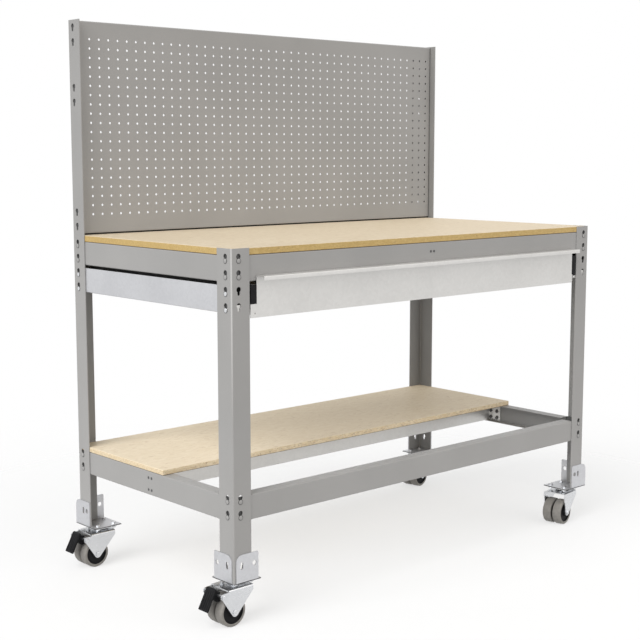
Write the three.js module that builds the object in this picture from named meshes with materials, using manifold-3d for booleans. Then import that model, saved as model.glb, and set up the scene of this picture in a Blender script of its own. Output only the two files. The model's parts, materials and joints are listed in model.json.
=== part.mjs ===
// Mobile assembly table: a boltless steel frame with a particle board worktop, a half-depth lower
// shelf, a folded tool panel, a full-width drawer on telescopic slides and four twin-wheel castors.
// Millimetres. +X runs to the right along the front, +Y to the rear and +Z up from the floor.

import * as THREE from "three";
import { mergeVertices } from "three/addons/utils/BufferGeometryUtils.js";
import Module from "manifold-3d";

// Clearances
const SEAT = 0.3; // between pieces that are fastened or seated together
const RUNNING = 0.4; // between pieces that slide or turn against each other

// Upright angles
const FRAME_WIDTH = 1210;
const FRAME_DEPTH = 610;
const FRONT_UPRIGHT_LENGTH = 710;
const REAR_UPRIGHT_LENGTH = 1212;
const UPRIGHT_FLANGE = 48;
const UPRIGHT_WALL = 2;

// Keyholes in the uprights and the rivets that hang in them
const KEYHOLE_INSET = 19.5; // from the arris to the row of keyholes
const KEYHOLE_HEAD_RADIUS = 6;
const KEYHOLE_SLOT_RADIUS = 3.5;
const KEYHOLE_DROP = 9; // from the head's centre down to the rivet's seat
const FOOT_KEY = 30; // keyhole behind the castor bracket's slots
const RIVET_PITCH = 34;
const RIVET_HEAD_RADIUS = 4.8;
const RIVET_HEAD = 1.6;
const RIVET_ROOT = 0.5; // depth that the rivet is sunk into its beam

// Beams, folded inwards along the top and the bottom edge
const BEAM_HEIGHT = 55;
const BEAM_WALL = 1.5;
const BEAM_FLANGE = 30;
const BEAM_LIP = 12;
const LOWER_BEAM_BOTTOM = 130;

// Boards
const WORKTOP_THICKNESS = 15;
const SHELF_THICKNESS = 12;
const SHELF_DEPTH = 350;

// Ties: a channel under the middle of the worktop and an angle under the front of the shelf
const WORKTOP_TIE_WIDTH = 40;
const WORKTOP_TIE_HEIGHT = 45;
const SHELF_TIE_HEIGHT = 50;
const SHELF_TIE_FLANGE = 24;
const SHELF_TIE_SETBACK = 69; // from the shelf's front edge back to the tie's face
const TIE_WALL = 1.5;
const TIE_PLATE_AHEAD = 40; // end plates bolted to the side beams, ahead of the shelf tie's face
const TIE_PLATE_BEHIND = 40;

// Tool panel, a tray folded back on four sides
const PANEL_FOLD = 27.5;
const PANEL_WALL = 1.2;
const PANEL_ABOVE_WORKTOP = 3;
const PANEL_BELOW_TOP = 2;
const PANEL_KEYS_ABOVE_WORKTOP = 31;
const PANEL_KEYS_BELOW_TOP = [40.5, 179.5];

// Drawer carriers: channels that bring the slides inside the front uprights
const CARRIER_HEIGHT = 58;
const CARRIER_DROP = 7; // from the worktop beams down to the carrier
const CARRIER_KEYS = 24; // middle of its rivet pairs above its bottom edge
const CARRIER_WALL = 1.5;

// Telescopic slides
const SLIDE_LENGTH = 500;
const SLIDE_HEIGHT = 45;
const SLIDE_WIDTH = 12.7;
const SLIDE_WALL = 1.2;
const SLIDE_SETBACK = 5; // from the frame's front plane

// Drawer
const DRAWER_DEPTH = 500;
const DRAWER_HEIGHT = 66;
const DRAWER_WALL = 1.2;
const DRAWER_BELOW_CARRIER = 8;
const DRAWER_FRONT_WALL = 1.5;
const DRAWER_FRONT_INSET = 6; // front is narrower than the tray by this at each end
const DRAWER_FRONT_SKIRT = 4; // front reaches this far below the tray
const DRAWER_FRONT_RISE = 19; // and this far above it
const PULL_REACH = 25;
const PULL_EDGE = 9;

// Castor brackets: a base under the upright's foot and two plates on its outer faces
const BRACKET_BASE = 72;
const BRACKET_WALL = 2.5;
const BRACKET_PLATE_HEIGHT = 60;
const BRACKET_CORNER_RADIUS = 16;
const BRACKET_HOLE_RADIUS = 5.5;
const BRACKET_HOLE_INSET = 11;
const BRACKET_HOLE_HEIGHT = 36;
const BRACKET_SLOT_RADIUS = 3.6;
const BRACKET_SLOT_LENGTH = 16;

// Castors
const WHEEL_RADIUS = 34;
const WHEEL_WIDTH = 24;
const WHEEL_SPACING = 5; // between the twin wheels
const WHEEL_SHOULDER = 3;
const TREAD_DEPTH = 8;
const HUB_RECESS = 4;
const HUB_BOSS_RADIUS = 11;
const WHEEL_SIDES = 20;
const AXLE_RADIUS = 4;
const AXLE_HEAD_RADIUS = 6.5;
const AXLE_HEAD = 2.5;
const FORK_WALL = 2.5;
const FORK_INSIDE = 59;
const FORK_TRAIL = 30; // from the swivel axis back to the axle
const FORK_NOSE = 20; // crown ahead of the swivel axis
const FORK_TAIL = 46; // crown behind it
const FORK_SKIRT = 12; // straight part of a cheek under the crown
const FORK_TIP_RADIUS = 9;
const CROWN_RISE = 50; // from the axle up to the crown
const CROWN_WALL = 3;
const RACE_RADIUS = 22;
const RACE_NECK_RADIUS = 18;
const RACE_HEIGHT = 6;
const KINGPIN_RADIUS = 5;
const KINGPIN_HEAD_RADIUS = 9;
const KINGPIN_HEAD = 3;
const CASTOR_PLATE = 60;
const CASTOR_PLATE_WALL = 3;

// Brake pedals on the left-hand castors
const PEDAL_WIDTH = 30;
const PEDAL_PIVOT_BACK = 60; // behind the swivel axis
const PEDAL_PIVOT_RISE = 40; // above the axle
const PEDAL_PIN_RADIUS = 3;
const PEDAL_EAR_RADIUS = 7; // round the pin, on the fork
const PEDAL_HUB = 6;
const PEDAL_REACH = 31; // behind the pivot
const PEDAL_TOP = 15; // above the pivot
const PEDAL_FOOT = 32; // below the pivot
const PEDAL_THICKNESS = 5;
const SHOE_DROP = 14.5; // brake shoe below the pivot
const SHOE_WIDTH = 8;

// Turn of each castor's fork at rest, from wheels trailing to the right
const BRAKED_YAW = Math.PI;
const FREE_YAW = Math.PI + THREE.MathUtils.degToRad(10);

// Facets of round work
const ROUND_SIDES = 12; // pins, races and axles
const RIVET_SIDES = 6;
const ARC_STEPS = 3; // a half circle has twice as many
const KEYHOLE_STEPS = 2;

const QUARTER = Math.PI / 2;

const finish = (color, roughness, metalness) =>
  new THREE.MeshStandardMaterial({ color, roughness, metalness, flatShading: true });
const PAINT = finish(0xa29f9a, 0.5, 0.2);
const GALVANISED = finish(0xcfcec8, 0.4, 0.7);
const BOARD = finish(0xdcc9a0, 0.65, 0);
const ZINC = finish(0xc8cdd1, 0.3, 0.9);
const BLACK_ZINC = finish(0x4b4c4e, 0.4, 0.8);
const TREAD = finish(0x8c847e, 0.7, 0);
const PLASTIC = finish(0x1d1d1f, 0.5, 0);

const wasm = await Module();
wasm.setup();

// A closed geometry as a solid that can be joined and cut.
function solid(geometry) {
  geometry.deleteAttribute("normal");
  geometry.deleteAttribute("uv");
  const merged = mergeVertices(geometry, 1e-4);
  return new wasm.Manifold(
    new wasm.Mesh({
      numProp: 3,
      vertProperties: new Float32Array(merged.attributes.position.array),
      triVerts: new Uint32Array(merged.index.array),
    }),
  );
}

const joined = (...solids) => solids.reduce((whole, piece) => whole.add(piece));

// A named mesh made from a solid.
function piece(name, body, material) {
  const { vertProperties, triVerts } = body.getMesh();
  const geometry = new THREE.BufferGeometry();
  geometry.setAttribute("position", new THREE.BufferAttribute(vertProperties, 3));
  geometry.setIndex(new THREE.BufferAttribute(triVerts, 1));
  geometry.computeVertexNormals();
  const mesh = new THREE.Mesh(geometry, material);
  mesh.name = name;
  return mesh;
}

function block([x0, x1], [y0, y1], [z0, z1]) {
  const geometry = new THREE.BoxGeometry(x1 - x0, y1 - y0, z1 - z0);
  return solid(geometry.translate((x0 + x1) / 2, (y0 + y1) / 2, (z0 + z1) / 2));
}

const sheet = (outline, depth, curveSegments) =>
  new THREE.ExtrudeGeometry(outline, { depth, bevelEnabled: false, curveSegments });

// A sheet drawn in X and Z that fills y0 to y0 + depth.
const sheetAcross = (outline, depth, y0, steps = ARC_STEPS) =>
  solid(sheet(outline, depth, steps).rotateX(QUARTER).translate(0, y0 + depth, 0));

// A sheet drawn in Y and Z that fills x0 to x0 + depth.
const sheetAlong = (outline, depth, x0, steps = ARC_STEPS) =>
  solid(sheet(outline, depth, steps).rotateX(QUARTER).rotateZ(QUARTER).translate(x0, 0, 0));

// A turned solid about Z from [radius, height] pairs listed upwards along the outside.
function turned(profile, sides) {
  const points = profile.map(([radius, height]) => new THREE.Vector2(radius, height));
  return new THREE.LatheGeometry(points, sides).rotateX(QUARTER);
}

const rod = (radius, z0, z1, sides) =>
  turned([[0, z0], [radius, z0], [radius, z1], [0, z1]], sides);

function rectangle(x0, x1, z0, z1) {
  const shape = new THREE.Shape();
  shape.moveTo(x0, z0);
  shape.lineTo(x1, z0);
  shape.lineTo(x1, z1);
  shape.lineTo(x0, z1);
  return shape;
}

function roundHole(x, z, radius) {
  const hole = new THREE.Path();
  hole.absarc(x, z, radius, 0, Math.PI);
  hole.absarc(x, z, radius, Math.PI, 2 * Math.PI);
  return hole;
}

function slotHole(x, z, radius, length) {
  const reach = length / 2 - radius;
  const hole = new THREE.Path();
  hole.absarc(x, z + reach, radius, 0, Math.PI);
  hole.absarc(x, z - reach, radius, Math.PI, 2 * Math.PI);
  return hole;
}

// A round head over a narrow slot, with the rivet's seat at (x, z).
function keyhole(x, z) {
  const neck = Math.asin(KEYHOLE_SLOT_RADIUS / KEYHOLE_HEAD_RADIUS);
  const hole = new THREE.Path();
  hole.absarc(x, z, KEYHOLE_SLOT_RADIUS, 0, Math.PI, true);
  hole.absarc(x, z + KEYHOLE_DROP, KEYHOLE_HEAD_RADIUS, -QUARTER - neck, -QUARTER + neck, true);
  return hole;
}

// Heights above the uprights' feet
const beamTop = FRONT_UPRIGHT_LENGTH - WORKTOP_THICKNESS - SEAT;
const upperBeamBottom = beamTop - BEAM_HEIGHT;
const carrierBottom = upperBeamBottom - CARRIER_DROP - CARRIER_HEIGHT;
const lowerBeamTop = LOWER_BEAM_BOTTOM + BEAM_HEIGHT;
const rivetPair = (middle) => [middle - RIVET_PITCH / 2, middle + RIVET_PITCH / 2];
const frameKeys = [
  FOOT_KEY,
  ...rivetPair(LOWER_BEAM_BOTTOM + BEAM_HEIGHT / 2),
  ...rivetPair(carrierBottom + CARRIER_KEYS),
  ...rivetPair(upperBeamBottom + BEAM_HEIGHT / 2),
];
const panelKeys = [
  ...rivetPair(FRONT_UPRIGHT_LENGTH + PANEL_KEYS_ABOVE_WORKTOP),
  ...PANEL_KEYS_BELOW_TOP.flatMap((down) => rivetPair(REAR_UPRIGHT_LENGTH - down)),
];

// Half sizes inside the uprights
const halfWidth = FRAME_WIDTH / 2;
const halfDepth = FRAME_DEPTH / 2;
const insideX = halfWidth - UPRIGHT_WALL - SEAT;
const insideY = halfDepth - UPRIGHT_WALL - SEAT;
const slidePlane = halfWidth - UPRIGHT_FLANGE; // inner face of each drawer carrier
const drawerHalf = slidePlane - SEAT - SLIDE_WIDTH - SEAT;

// Stack of heights in a castor, from the floor up
const axleHeight = WHEEL_RADIUS * Math.cos(Math.PI / WHEEL_SIDES); // a flat of the tread is down
const crownBottom = axleHeight + CROWN_RISE;
const crownTop = crownBottom + CROWN_WALL;
const raceBottom = crownTop + SEAT;
const castorPlateBottom = raceBottom + RACE_HEIGHT;
const castorPlateTop = castorPlateBottom + CASTOR_PLATE_WALL;
const footHeight = castorPlateTop + SEAT + BRACKET_WALL + SEAT;
const forkHalf = FORK_INSIDE / 2;
const pedalPivotHeight = axleHeight + PEDAL_PIVOT_RISE;

// Corners with the turn that brings the front left corner there, and where each bracket plate
// starts and ends from the arris: the first plate runs along the corner's X flange when unturned.
const OPEN_PLATE = [5, 65];
const FAR_PLATE = [8, 68];
const NEAR_PLATE = [-14, 46];
const CORNER_PLATE = [-SEAT - BRACKET_WALL, UPRIGHT_FLANGE];
const CORNERS = [
  { name: "front_left", x: -1, y: -1, turn: 0, plates: [OPEN_PLATE, OPEN_PLATE] },
  { name: "front_right", x: 1, y: -1, turn: 1, plates: [FAR_PLATE, NEAR_PLATE] },
  { name: "rear_right", x: 1, y: 1, turn: 2, plates: [CORNER_PLATE, CORNER_PLATE] },
  { name: "rear_left", x: -1, y: 1, turn: 3, plates: [NEAR_PLATE, FAR_PLATE] },
];

// The four sides, each with its outward face turned from the front.
const SIDES = [
  { name: "front", x: 0, y: -insideY, turn: 0 },
  { name: "right", x: insideX, y: 0, turn: 1 },
  { name: "rear", x: 0, y: insideY, turn: 2 },
  { name: "left", x: -insideX, y: 0, turn: 3 },
];

// An angle with its arris on the Z axis and a row of keyholes in each flange.
function upright(length, keys) {
  const outline = rectangle(0, UPRIGHT_FLANGE, 0, length);
  outline.holes = keys.map((z) => keyhole(KEYHOLE_INSET, z));
  return joined(
    sheetAcross(outline, UPRIGHT_WALL, 0, KEYHOLE_STEPS),
    sheetAlong(outline, UPRIGHT_WALL, 0, KEYHOLE_STEPS),
  );
}

// Rivets in pairs at both ends of a beam, pointing out through the uprights' keyholes.
function rivets(span, middle) {
  const under = SEAT + UPRIGHT_WALL + SEAT;
  const shank = KEYHOLE_SLOT_RADIUS - RUNNING;
  const profile = [
    [0, -RIVET_ROOT],
    [shank, -RIVET_ROOT],
    [shank, under],
    [RIVET_HEAD_RADIUS, under],
    [RIVET_HEAD_RADIUS, under + RIVET_HEAD],
    [0, under + RIVET_HEAD],
  ];
  const reach = span / 2 - KEYHOLE_INSET;
  return [-reach, reach].flatMap((x) =>
    rivetPair(middle).map((z) =>
      solid(turned(profile, RIVET_SIDES).rotateX(QUARTER).translate(x, 0, z)),
    ),
  );
}

// A beam along X that faces -Y, with its bottom edge at Z = 0.
function beam(span, length) {
  const fold = span / 2 - UPRIGHT_FLANGE;
  const web = block([-length / 2, length / 2], [0, BEAM_WALL], [0, BEAM_HEIGHT]);
  const top = block([-fold, fold], [0, BEAM_FLANGE], [BEAM_HEIGHT - BEAM_WALL, BEAM_HEIGHT]);
  const lip = block([-fold, fold], [0, BEAM_LIP], [0, BEAM_WALL]);
  return joined(web, top, lip, ...rivets(span, BEAM_HEIGHT / 2));
}

// A trough along X that faces -Y; its inner wall carries a slide.
function drawerCarrier() {
  const along = [-insideY, insideY];
  const depth = UPRIGHT_FLANGE - UPRIGHT_WALL - SEAT;
  const outer = block(along, [0, CARRIER_WALL], [0, CARRIER_HEIGHT]);
  const floor = block(along, [0, depth], [0, CARRIER_WALL]);
  const inner = block(along, [depth - CARRIER_WALL, depth], [0, CARRIER_HEIGHT]);
  return joined(outer, floor, inner, ...rivets(FRAME_DEPTH, CARRIER_KEYS));
}

// A slide rail along X: a web at y0 with two lips that reach to y1, centred on Z = 0.
function rail(height, y0, y1) {
  const along = [-SLIDE_LENGTH / 2, SLIDE_LENGTH / 2];
  const web = y1 > y0 ? [y0, y0 + SLIDE_WALL] : [y0 - SLIDE_WALL, y0];
  const depth = [Math.min(y0, y1), Math.max(y0, y1)];
  return joined(
    block(along, web, [-height / 2, height / 2]),
    block(along, depth, [-height / 2, SLIDE_WALL - height / 2]),
    block(along, depth, [height / 2 - SLIDE_WALL, height / 2]),
  );
}

// A channel from the front beam to the rear beam, with a folded tab at each end.
function worktopTie() {
  const reach = insideY - BEAM_WALL - SEAT;
  const bottom = beamTop - BEAM_WALL - SEAT - WORKTOP_TIE_HEIGHT;
  const top = bottom + WORKTOP_TIE_HEIGHT;
  const half = WORKTOP_TIE_WIDTH / 2;
  const along = [-reach, reach];
  const cheeks = [-1, 1].map((side) =>
    block(
      [side * half - TIE_WALL / 2, side * half + TIE_WALL / 2],
      along,
      [bottom + BEAM_LIP, top],
    ),
  );
  const crown = block([-half, half], along, [top - TIE_WALL, top]);
  const tabs = [-1, 1].map((end) =>
    block(
      [-half, half],
      end < 0 ? [-reach, TIE_WALL - reach] : [reach - TIE_WALL, reach],
      [bottom + BEAM_LIP, top],
    ),
  );
  return joined(crown, ...cheeks, ...tabs);
}

// An angle under the front of the shelf, with plates at its ends that are bolted to the side beams.
function shelfTie() {
  const reach = insideX - BEAM_WALL - SEAT;
  const clear = insideX - BEAM_FLANGE - SEAT;
  const front = insideY - SHELF_DEPTH + SHELF_TIE_SETBACK;
  const top = lowerBeamTop - SEAT;
  const shoulder = lowerBeamTop - BEAM_WALL - SEAT;
  const bottom = shoulder - SHELF_TIE_HEIGHT;
  const web = block([-reach, reach], [front, front + TIE_WALL], [bottom, shoulder]);
  const rise = block([-clear, clear], [front, front + TIE_WALL], [bottom, top]);
  const flange = block([-clear, clear], [front, front + SHELF_TIE_FLANGE], [top - TIE_WALL, top]);
  const plates = [-1, 1].map((end) =>
    block(
      end < 0 ? [-reach, TIE_WALL - reach] : [reach - TIE_WALL, reach],
      [front - TIE_PLATE_AHEAD, front + TIE_PLATE_BEHIND],
      [bottom, shoulder],
    ),
  );
  return joined(web, rise, flange, ...plates);
}

// A sheet tray that opens to the rear.
function toolPanel() {
  const bottom = FRONT_UPRIGHT_LENGTH + PANEL_ABOVE_WORKTOP;
  const top = REAR_UPRIGHT_LENGTH - PANEL_BELOW_TOP;
  const face = insideY - PANEL_FOLD;
  const tray = block([-insideX, insideX], [face, insideY], [bottom, top]);
  const hollow = block(
    [PANEL_WALL - insideX, insideX - PANEL_WALL],
    [face + PANEL_WALL, insideY + PANEL_FOLD],
    [bottom + PANEL_WALL, top - PANEL_WALL],
  );
  return tray.subtract(hollow);
}

const trayBottom = carrierBottom - DRAWER_BELOW_CARRIER;
const trayTop = trayBottom + DRAWER_HEIGHT;
const trayFront = DRAWER_FRONT_WALL + SEAT - halfDepth;

function drawerTray() {
  const back = trayFront + DRAWER_DEPTH;
  const outside = block([-drawerHalf, drawerHalf], [trayFront, back], [trayBottom, trayTop]);
  const inside = block(
    [DRAWER_WALL - drawerHalf, drawerHalf - DRAWER_WALL],
    [trayFront + DRAWER_WALL, back - DRAWER_WALL],
    [trayBottom + DRAWER_WALL, trayTop + DRAWER_HEIGHT],
  );
  return outside.subtract(inside);
}

// A flat front whose top edge is folded forwards and down into a pull.
function drawerFront() {
  const half = drawerHalf - DRAWER_FRONT_INSET;
  const across = [-half, half];
  const top = trayTop + DRAWER_FRONT_RISE;
  const reach = -halfDepth - PULL_REACH;
  const face = block(
    across,
    [-halfDepth, DRAWER_FRONT_WALL - halfDepth],
    [trayBottom - DRAWER_FRONT_SKIRT, top],
  );
  const shelf = block(across, [reach, DRAWER_FRONT_WALL - halfDepth], [top - DRAWER_FRONT_WALL, top]);
  const edge = block(across, [reach, reach + DRAWER_FRONT_WALL], [top - PULL_EDGE, top]);
  return joined(face, shelf, edge);
}

// One upright plate of a castor bracket, rounded at the arris end.
function bracketPlate([start, end]) {
  const corner = start + BRACKET_CORNER_RADIUS;
  const plate = new THREE.Shape();
  plate.moveTo(start, -SEAT - BRACKET_WALL);
  plate.lineTo(end, -SEAT - BRACKET_WALL);
  plate.lineTo(end, BRACKET_PLATE_HEIGHT);
  plate.absarc(
    corner,
    BRACKET_PLATE_HEIGHT - BRACKET_CORNER_RADIUS,
    BRACKET_CORNER_RADIUS,
    QUARTER,
    Math.PI,
  );
  plate.holes = [
    roundHole(end - BRACKET_HOLE_INSET, BRACKET_HOLE_HEIGHT, BRACKET_HOLE_RADIUS),
    slotHole(KEYHOLE_INSET, BRACKET_HOLE_HEIGHT, BRACKET_SLOT_RADIUS, BRACKET_SLOT_LENGTH),
  ];
  return plate;
}

// A bracket whose corner meets the upright's arris on the Z axis.
function castorBracket([plateX, plateY]) {
  const outside = -SEAT - BRACKET_WALL;
  const base = block(
    [Math.min(outside, plateX[0]), BRACKET_BASE],
    [Math.min(outside, plateY[0]), BRACKET_BASE],
    [outside, -SEAT],
  );
  return joined(
    base,
    sheetAcross(bracketPlate(plateX), BRACKET_WALL, outside),
    sheetAlong(bracketPlate(plateY), BRACKET_WALL, outside),
  );
}

// A square plate with the fixed half of the ball race under it.
function castorPlate() {
  const half = CASTOR_PLATE / 2;
  const plate = block([-half, half], [-half, half], [castorPlateBottom, castorPlateTop]);
  const race = turned(
    [[0, raceBottom], [RACE_NECK_RADIUS, raceBottom], [RACE_RADIUS, castorPlateBottom],
      [RACE_RADIUS, castorPlateTop], [0, castorPlateTop]],
    ROUND_SIDES,
  );
  const bore = rod(KINGPIN_RADIUS + SEAT, 0, castorPlateTop + CASTOR_PLATE, ROUND_SIDES);
  return joined(plate, solid(race)).subtract(solid(bore));
}

function kingpin() {
  const seat = crownBottom - SEAT;
  return solid(
    turned(
      [[0, seat - KINGPIN_HEAD], [KINGPIN_HEAD_RADIUS, seat - KINGPIN_HEAD],
        [KINGPIN_HEAD_RADIUS, seat], [KINGPIN_RADIUS, seat], [KINGPIN_RADIUS, castorPlateTop],
        [0, castorPlateTop]],
      ROUND_SIDES,
    ),
  );
}

// Where a straight edge from a corner touches an arc, as an angle about the arc's centre.
function touch(centre, radius, corner, side) {
  const away = corner.clone().sub(centre);
  return away.angle() + side * Math.acos(radius / away.length());
}

// A tapered fork cheek that hangs from the crown to a round tip at the axle.
function forkCheek(braked) {
  const axle = new THREE.Vector2(FORK_TRAIL, axleHeight);
  const nose = new THREE.Vector2(-FORK_NOSE, crownTop - FORK_SKIRT);
  const earBack = PEDAL_PIVOT_BACK + PEDAL_EAR_RADIUS;
  const tail = braked
    ? new THREE.Vector2(earBack, pedalPivotHeight - PEDAL_EAR_RADIUS)
    : new THREE.Vector2(FORK_TAIL, crownTop - FORK_SKIRT);
  const cheek = new THREE.Shape();
  cheek.moveTo(-FORK_NOSE, crownTop);
  cheek.lineTo(nose.x, nose.y);
  cheek.absarc(
    axle.x,
    axle.y,
    FORK_TIP_RADIUS,
    touch(axle, FORK_TIP_RADIUS, nose, 1),
    touch(axle, FORK_TIP_RADIUS, tail, -1),
  );
  cheek.lineTo(tail.x, tail.y);
  if (braked) {
    cheek.lineTo(earBack, pedalPivotHeight + PEDAL_EAR_RADIUS);
  }
  cheek.lineTo(FORK_TAIL, crownTop);
  cheek.holes = [roundHole(FORK_TRAIL, axleHeight, AXLE_RADIUS + SEAT)];
  return cheek;
}

// Crown and two cheeks in one pressing; a braked fork also holds the pedal's pin.
function fork(braked) {
  const cheek = forkCheek(braked);
  const outside = forkHalf + FORK_WALL;
  const crown = block([-FORK_NOSE, FORK_TAIL], [-outside, outside], [crownBottom, crownTop]);
  const bore = rod(KINGPIN_RADIUS + SEAT, 0, crownTop + CROWN_RISE, ROUND_SIDES);
  let body = joined(
    crown.subtract(solid(bore)),
    sheetAcross(cheek, FORK_WALL, forkHalf),
    sheetAcross(cheek, FORK_WALL, -outside),
  );
  if (braked) {
    const pin = rod(PEDAL_PIN_RADIUS, -outside, outside, ROUND_SIDES).rotateX(QUARTER);
    body = body.add(solid(pin.translate(PEDAL_PIVOT_BACK, 0, pedalPivotHeight)));
  }
  return body;
}

function axle() {
  const shank = forkHalf + FORK_WALL + SEAT;
  const pin = turned(
    [[0, -shank - AXLE_HEAD], [AXLE_HEAD_RADIUS, -shank - AXLE_HEAD], [AXLE_HEAD_RADIUS, -shank],
      [AXLE_RADIUS, -shank], [AXLE_RADIUS, shank], [AXLE_HEAD_RADIUS, shank],
      [AXLE_HEAD_RADIUS, shank + AXLE_HEAD], [0, shank + AXLE_HEAD]],
    ROUND_SIDES,
  );
  return solid(pin.rotateX(QUARTER).translate(FORK_TRAIL, 0, axleHeight));
}

// One of the twin wheels: a tyre round a recessed hub whose boss reaches the fork cheek.
function wheel(side) {
  const inner = WHEEL_SPACING / 2;
  const outer = inner + WHEEL_WIDTH;
  const bore = AXLE_RADIUS + SEAT;
  const boss = forkHalf - RUNNING;
  const rim = WHEEL_RADIUS - TREAD_DEPTH;
  const profile = [
    [bore, inner],
    [WHEEL_RADIUS - WHEEL_SHOULDER, inner],
    [WHEEL_RADIUS, inner + WHEEL_SHOULDER],
    [WHEEL_RADIUS, outer - WHEEL_SHOULDER],
    [WHEEL_RADIUS - WHEEL_SHOULDER, outer],
    [rim, outer],
    [rim, outer - HUB_RECESS],
    [HUB_BOSS_RADIUS, outer - HUB_RECESS],
    [HUB_BOSS_RADIUS, boss],
    [bore, boss],
    [bore, inner],
  ];
  const flatDown = Math.PI / WHEEL_SIDES;
  const tyre = turned(profile, WHEEL_SIDES).rotateZ(flatDown).rotateX(-side * QUARTER);
  return solid(tyre.translate(FORK_TRAIL, 0, axleHeight));
}

// A sloping foot plate, the hub on its pin and the brake shoe over the treads.
function brakePedal() {
  const hub = PEDAL_HUB;
  const slab = PEDAL_THICKNESS;
  const outline = new THREE.Shape();
  const corners = [
    [-hub, hub],
    [slab, PEDAL_TOP],
    [2 * slab, PEDAL_TOP],
    [PEDAL_REACH + slab / 2, slab / 2 - PEDAL_FOOT],
    [PEDAL_REACH - slab / 2, -PEDAL_FOOT],
    [hub + slab, -hub],
    [SHOE_WIDTH / 2, -SHOE_DROP],
    [-SHOE_WIDTH / 2, -SHOE_DROP],
    [-hub, -hub],
  ];
  outline.setFromPoints(
    corners.reverse().map(([back, up]) =>
      new THREE.Vector2(PEDAL_PIVOT_BACK + back, pedalPivotHeight + up)),
  );
  outline.holes = [roundHole(PEDAL_PIVOT_BACK, pedalPivotHeight, PEDAL_PIN_RADIUS + SEAT)];
  return sheetAcross(outline, PEDAL_WIDTH, -PEDAL_WIDTH / 2);
}

// Frame of uprights, beams, boards, panel and ties, standing on the castors' brackets
function buildFrame() {
  const frame = new THREE.Group();
  frame.position.z = footHeight;
  for (const corner of CORNERS) {
    const post = piece(
      `${corner.name}_upright`,
      corner.y < 0
        ? upright(FRONT_UPRIGHT_LENGTH, frameKeys)
        : upright(REAR_UPRIGHT_LENGTH, [...frameKeys, ...panelKeys]),
      PAINT,
    );
    const bracket = piece(`${corner.name}_castor_bracket`, castorBracket(corner.plates), GALVANISED);
    const place = new THREE.Group();
    place.position.set(corner.x * halfWidth, corner.y * halfDepth, 0);
    place.rotation.z = corner.turn * QUARTER;
    place.add(post, bracket);
    frame.add(place);
  }
  for (const side of SIDES) {
    const across = side.turn % 2 === 0;
    const span = across ? FRAME_WIDTH : FRAME_DEPTH;
    const length = across ? 2 * insideX : 2 * (insideY - BEAM_WALL - SEAT);
    const place = new THREE.Group();
    place.position.set(side.x, side.y, 0);
    place.rotation.z = side.turn * QUARTER;
    const upper = piece(`${side.name}_upper_beam`, beam(span, length), PAINT);
    upper.position.z = upperBeamBottom;
    const lower = piece(`${side.name}_lower_beam`, beam(span, length), PAINT);
    lower.position.z = LOWER_BEAM_BOTTOM;
    place.add(upper, lower);
    if (!across) {
      const carrier = piece(`${side.name}_drawer_carrier`, drawerCarrier(), GALVANISED);
      carrier.position.z = carrierBottom;
      place.add(carrier);
    }
    frame.add(place);
  }
  const worktop = block(
    [-insideX, insideX],
    [-insideY, insideY],
    [FRONT_UPRIGHT_LENGTH - WORKTOP_THICKNESS, FRONT_UPRIGHT_LENGTH],
  );
  const shelfBottom = lowerBeamTop + SEAT;
  const shelf = block(
    [-insideX, insideX],
    [insideY - SHELF_DEPTH, insideY],
    [shelfBottom, shelfBottom + SHELF_THICKNESS],
  );
  frame.add(
    piece("worktop", worktop, BOARD),
    piece("lower_shelf", shelf, BOARD),
    piece("worktop_tie", worktopTie(), PAINT),
    piece("shelf_tie", shelfTie(), GALVANISED),
    piece("tool_panel", toolPanel(), PAINT),
  );
  return frame;
}

// Drawer with its front, and a three-part slide on each side
function buildDrawer() {
  const drawer = new THREE.Group();
  drawer.position.z = footHeight;
  drawer.add(
    piece("drawer_tray", drawerTray(), GALVANISED),
    piece("drawer_front", drawerFront(), GALVANISED),
  );
  const nest = SLIDE_WALL + RUNNING;
  const lipEnd = SEAT + SLIDE_WIDTH - nest;
  const rails = [
    ["outer", SLIDE_HEIGHT, SEAT, lipEnd],
    ["middle", SLIDE_HEIGHT - 2 * nest, SEAT + nest, lipEnd],
    ["inner", SLIDE_HEIGHT - 4 * nest, SEAT + SLIDE_WIDTH, SEAT + 2 * nest],
  ];
  for (const side of SIDES.filter((each) => each.turn % 2 === 1)) {
    const place = new THREE.Group();
    place.position.set(
      Math.sign(side.x) * slidePlane,
      SLIDE_SETBACK + SLIDE_LENGTH / 2 - halfDepth,
      carrierBottom + CARRIER_HEIGHT / 2,
    );
    place.rotation.z = side.turn * QUARTER;
    for (const [name, height, y0, y1] of rails) {
      place.add(piece(`${side.name}_slide_${name}_rail`, rail(height, y0, y1), BLACK_ZINC));
    }
    drawer.add(place);
  }
  return drawer;
}

// One castor under a corner: fixed plate and kingpin, and the fork with all that it carries
function buildCastor(corner) {
  const castor = new THREE.Group();
  const inset = BRACKET_BASE / 2;
  castor.position.set(corner.x * (halfWidth - inset), corner.y * (halfDepth - inset), 0);
  const label = `${corner.name}_castor`;
  castor.add(piece(`${label}_plate`, castorPlate(), ZINC), piece(`${label}_kingpin`, kingpin(), ZINC));
  const braked = corner.x < 0;
  const swivel = new THREE.Group();
  swivel.rotation.z = braked ? BRAKED_YAW : FREE_YAW;
  swivel.add(
    piece(`${label}_fork`, fork(braked), ZINC),
    piece(`${label}_axle`, axle(), ZINC),
    piece(`${label}_wheel_a`, wheel(1), TREAD),
    piece(`${label}_wheel_b`, wheel(-1), TREAD),
  );
  if (braked) {
    swivel.add(piece(`${label}_brake_pedal`, brakePedal(), PLASTIC));
  }
  castor.add(swivel);
  return castor;
}

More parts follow.
